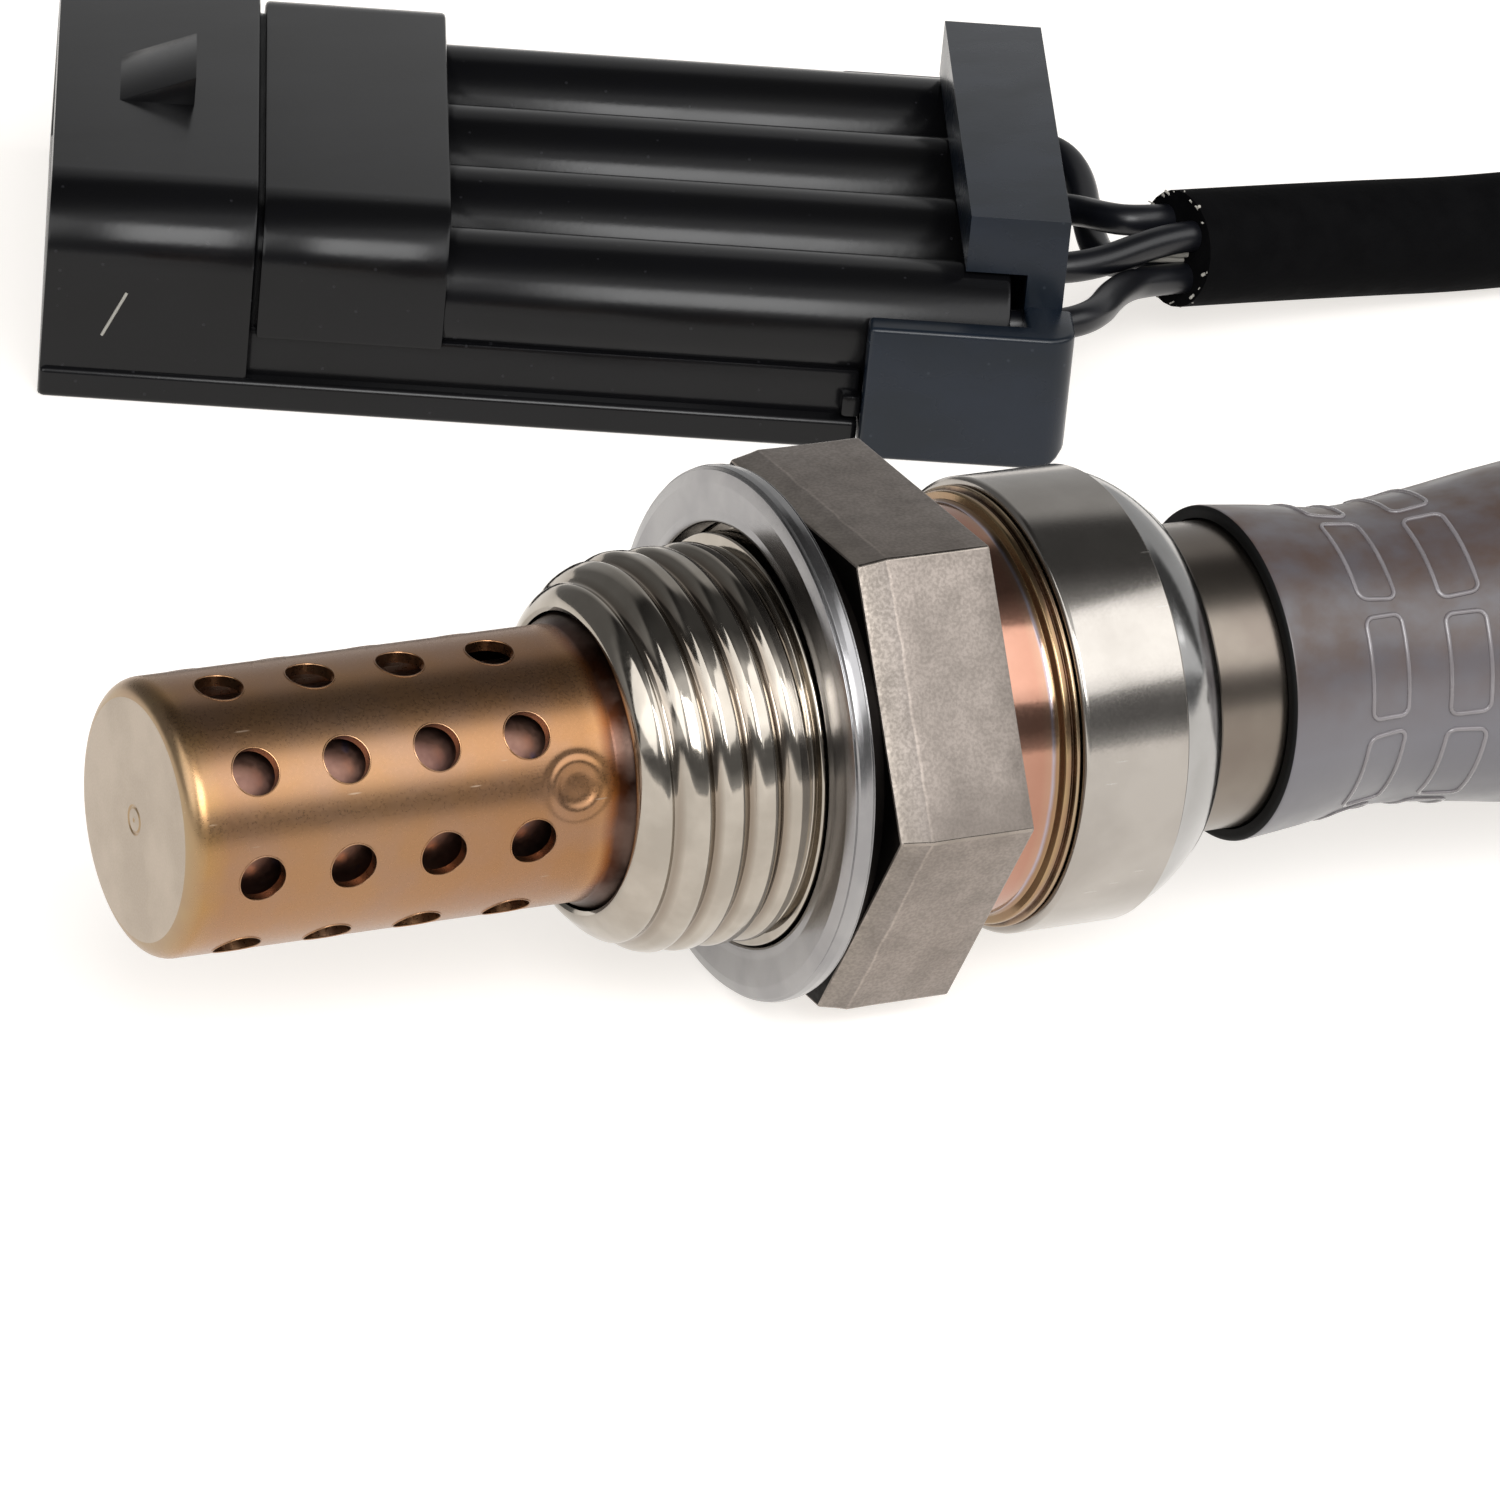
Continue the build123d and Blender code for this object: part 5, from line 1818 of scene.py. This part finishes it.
@dataclass(frozen=True)
class SoftBox:
    """Soft lamp that looks at the part, with its long side level.

    Args:
        name: its name.
        direction: where it stands, seen from the part.
        size: its level and its upright side in metres.
        power: its power in watts.
    """

    name: str
    direction: Point
    size: tuple[float, float]
    power: float


@dataclass
class Studio:
    """Camera, soft light and floor."""

    azimuth: float = math.radians(28.96)
    elevation: float = math.radians(25.5)
    roll: float = math.radians(5.624)
    distance: float = 500.0
    lens: float = 269.48
    sensor: float = 36.0
    aim_x: float = -0.8
    aim_pixel: tuple[float, float] = (701.362, 742.93)
    pixels_per_mm: float = 22.457
    frame_pixels: float = 1500.0
    floor: float = -12.1
    floor_size: float = 20.0        # metres
    floor_glow: float = 0.72
    lamp_distance: float = 0.75     # metres
    boxes: tuple[SoftBox, ...] = (
        SoftBox("key_box", (0.5, -0.56, 0.66), (1.0, 0.46), 2.2),
        SoftBox("front_box", (-0.25, -0.72, 0.6), (0.4, 0.36), 3.7),
        SoftBox("side_box", (-0.82, -0.22, 0.53), (0.5, 0.5), 1.5))
    # Brightness of the room round the sensor's axis: degrees from straight up towards the viewer.
    walls: tuple[tuple[float, float], ...] = (
        (-180, 0.6), (-95, 0.55), (-60, 0.52), (-42, 0.54), (-37, 0.4), (-33, 0.16), (-29, 0.08), (0, 0.08),
        (7, 0.15), (12, 0.25), (18, 0.4), (24, 1.0), (55, 1.0), (61, 0.4), (70, 0.17), (80, 0.17), (86, 0.38),
        (92, 0.66), (180, 0.66))

    def camera(self) -> None:
        """Puts the camera where the view asks for it."""
        sa, ca = math.sin(self.azimuth), math.cos(self.azimuth)
        se, ce = math.sin(self.elevation), math.cos(self.elevation)
        level = Vector((ca, -sa, 0))
        back = Vector((-sa * ce, -ca * ce, se))
        rise = Vector((sa * se, ca * se, ce))
        right = level * math.cos(self.roll) + rise * math.sin(self.roll)
        up = rise * math.cos(self.roll) - level * math.sin(self.roll)
        half = self.frame_pixels / 2
        offset_x = (self.aim_pixel[0] - half) / self.pixels_per_mm
        offset_y = (half - self.aim_pixel[1]) / self.pixels_per_mm
        place = Vector((self.aim_x, 0, 0)) - right * offset_x - up * offset_y + back * self.distance
        data = bpy.data.cameras.new("camera")
        data.lens = self.lens
        data.sensor_width = self.sensor
        data.clip_start = 0.01
        data.clip_end = 50.0
        camera = bpy.data.objects.new("camera", data)
        bpy.context.scene.collection.objects.link(camera)
        axes = Matrix((right, up, back)).transposed()
        camera.matrix_world = Matrix.Translation(place * MM) @ axes.to_4x4()
        bpy.context.scene.camera = camera

    def lamp(self, box: SoftBox) -> None:
        """Hangs a soft box.

        Args:
            box: the box.
        """
        data = bpy.data.lights.new(box.name, "AREA")
        data.shape = "RECTANGLE"
        data.size, data.size_y = box.size
        data.energy = box.power
        lamp = bpy.data.objects.new(box.name, data)
        bpy.context.scene.collection.objects.link(lamp)
        direction = Vector(box.direction)
        lamp.location = direction.normalized() * self.lamp_distance
        lamp.rotation_euler = direction.to_track_quat("Z", "Y").to_euler()

    def room(self) -> None:
        """World: a pale wall behind the part, dimmer to its left, a dark ceiling and a pale front panel."""
        world = bpy.data.worlds.new("room")
        world.use_nodes = True
        bpy.context.scene.world = world
        tree = world.node_tree
        tree.nodes.clear()
        way = add_node(tree, Node.PLACE).outputs["Generated"]
        parts = add_node(tree, Node.SPLIT, {0: way}).outputs
        forward = add_node(tree, Node.MATHS, {0: parts["Y"], 1: -1.0}, operation="MULTIPLY")
        lean = add_node(tree, Node.MATHS, {0: forward, 1: parts["Z"]}, operation="ARCTAN2")
        share = add_node(tree, Node.RANGE, {"Value": lean, **span(-math.pi, math.pi)})
        ramp = add_node(tree, Node.RAMP, {0: share})
        fill_ramp(ramp, [((angle + 180) / 360, (level, level, level, 1)) for angle, level in self.walls])
        behind = add_node(tree, Node.RANGE, {"Value": parts["Y"], **span(0.1, 0.5)})
        leftward = add_node(tree, Node.RANGE, {"Value": parts["X"], **span(0.35, -0.2, 0.0, 0.65)})
        loss = add_node(tree, Node.MATHS, {0: behind, 1: leftward}, operation="MULTIPLY")
        strength = add_node(tree, Node.MATHS, {0: 1.0, 1: loss}, operation="SUBTRACT")
        glow = add_node(tree, Node.BACKGROUND, {"Color": ramp, "Strength": strength})
        add_node(tree, Node.WORLD, {0: glow})

    def ground(self) -> None:
        """Pale floor: white to the camera and in the metals, and it keeps the part's shadow."""
        deselect()
        bpy.ops.mesh.primitive_plane_add(size=self.floor_size, location=(0, 0, self.floor * MM))
        floor = bpy.context.active_object
        floor.name = "studio_floor"
        settle(floor)
        made, tree = blank("pale_floor")
        tree.nodes.clear()
        matt = add_node(tree, Node.MATT, {"Color": linear("#C0BEBC")})
        rays = add_node(tree, Node.RAYS).outputs
        mirrored = add_node(tree, Node.MATHS, {0: rays["Is Glossy Ray"], 1: rays["Is Transmission Ray"]},
                            operation="MAXIMUM")
        seen = add_node(tree, Node.MATHS, {0: rays["Is Camera Ray"], 1: mirrored}, operation="MAXIMUM")
        glow = add_node(tree, Node.GLOW, {"Color": linear("#FFFBF6"), "Strength": self.floor_glow})
        lit = add_node(tree, Node.SUM, {0: matt, 1: glow})
        chosen = add_node(tree, Node.CHOICE, {0: seen, 1: matt, 2: lit})
        add_node(tree, Node.SURFACE, {0: chosen})
        floor.data.materials.append(made)

    def build(self) -> None:
        """Sets up the light and the floor."""
        bpy.context.scene.view_settings.view_transform = "Standard"
        self.room()
        self.ground()
        for box in self.boxes:
            self.lamp(box)


def main() -> None:
    """Sets the camera, builds the plug, its lead and the sensor, and sets up the light and the floor."""
    logging.basicConfig(level=logging.INFO, format="%(message)s")
    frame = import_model()
    studio = Studio()
    studio.camera()
    plug = Plug()
    for assembly in (plug, RearLock(plug), Lead(plug), Shell(), Gasket(), ProtectionTube(), RearSleeve(),
                     Boot()):
        assembly.build()
    dress_kept(frame)
    studio.build()


if __name__ == "__main__":
    main()
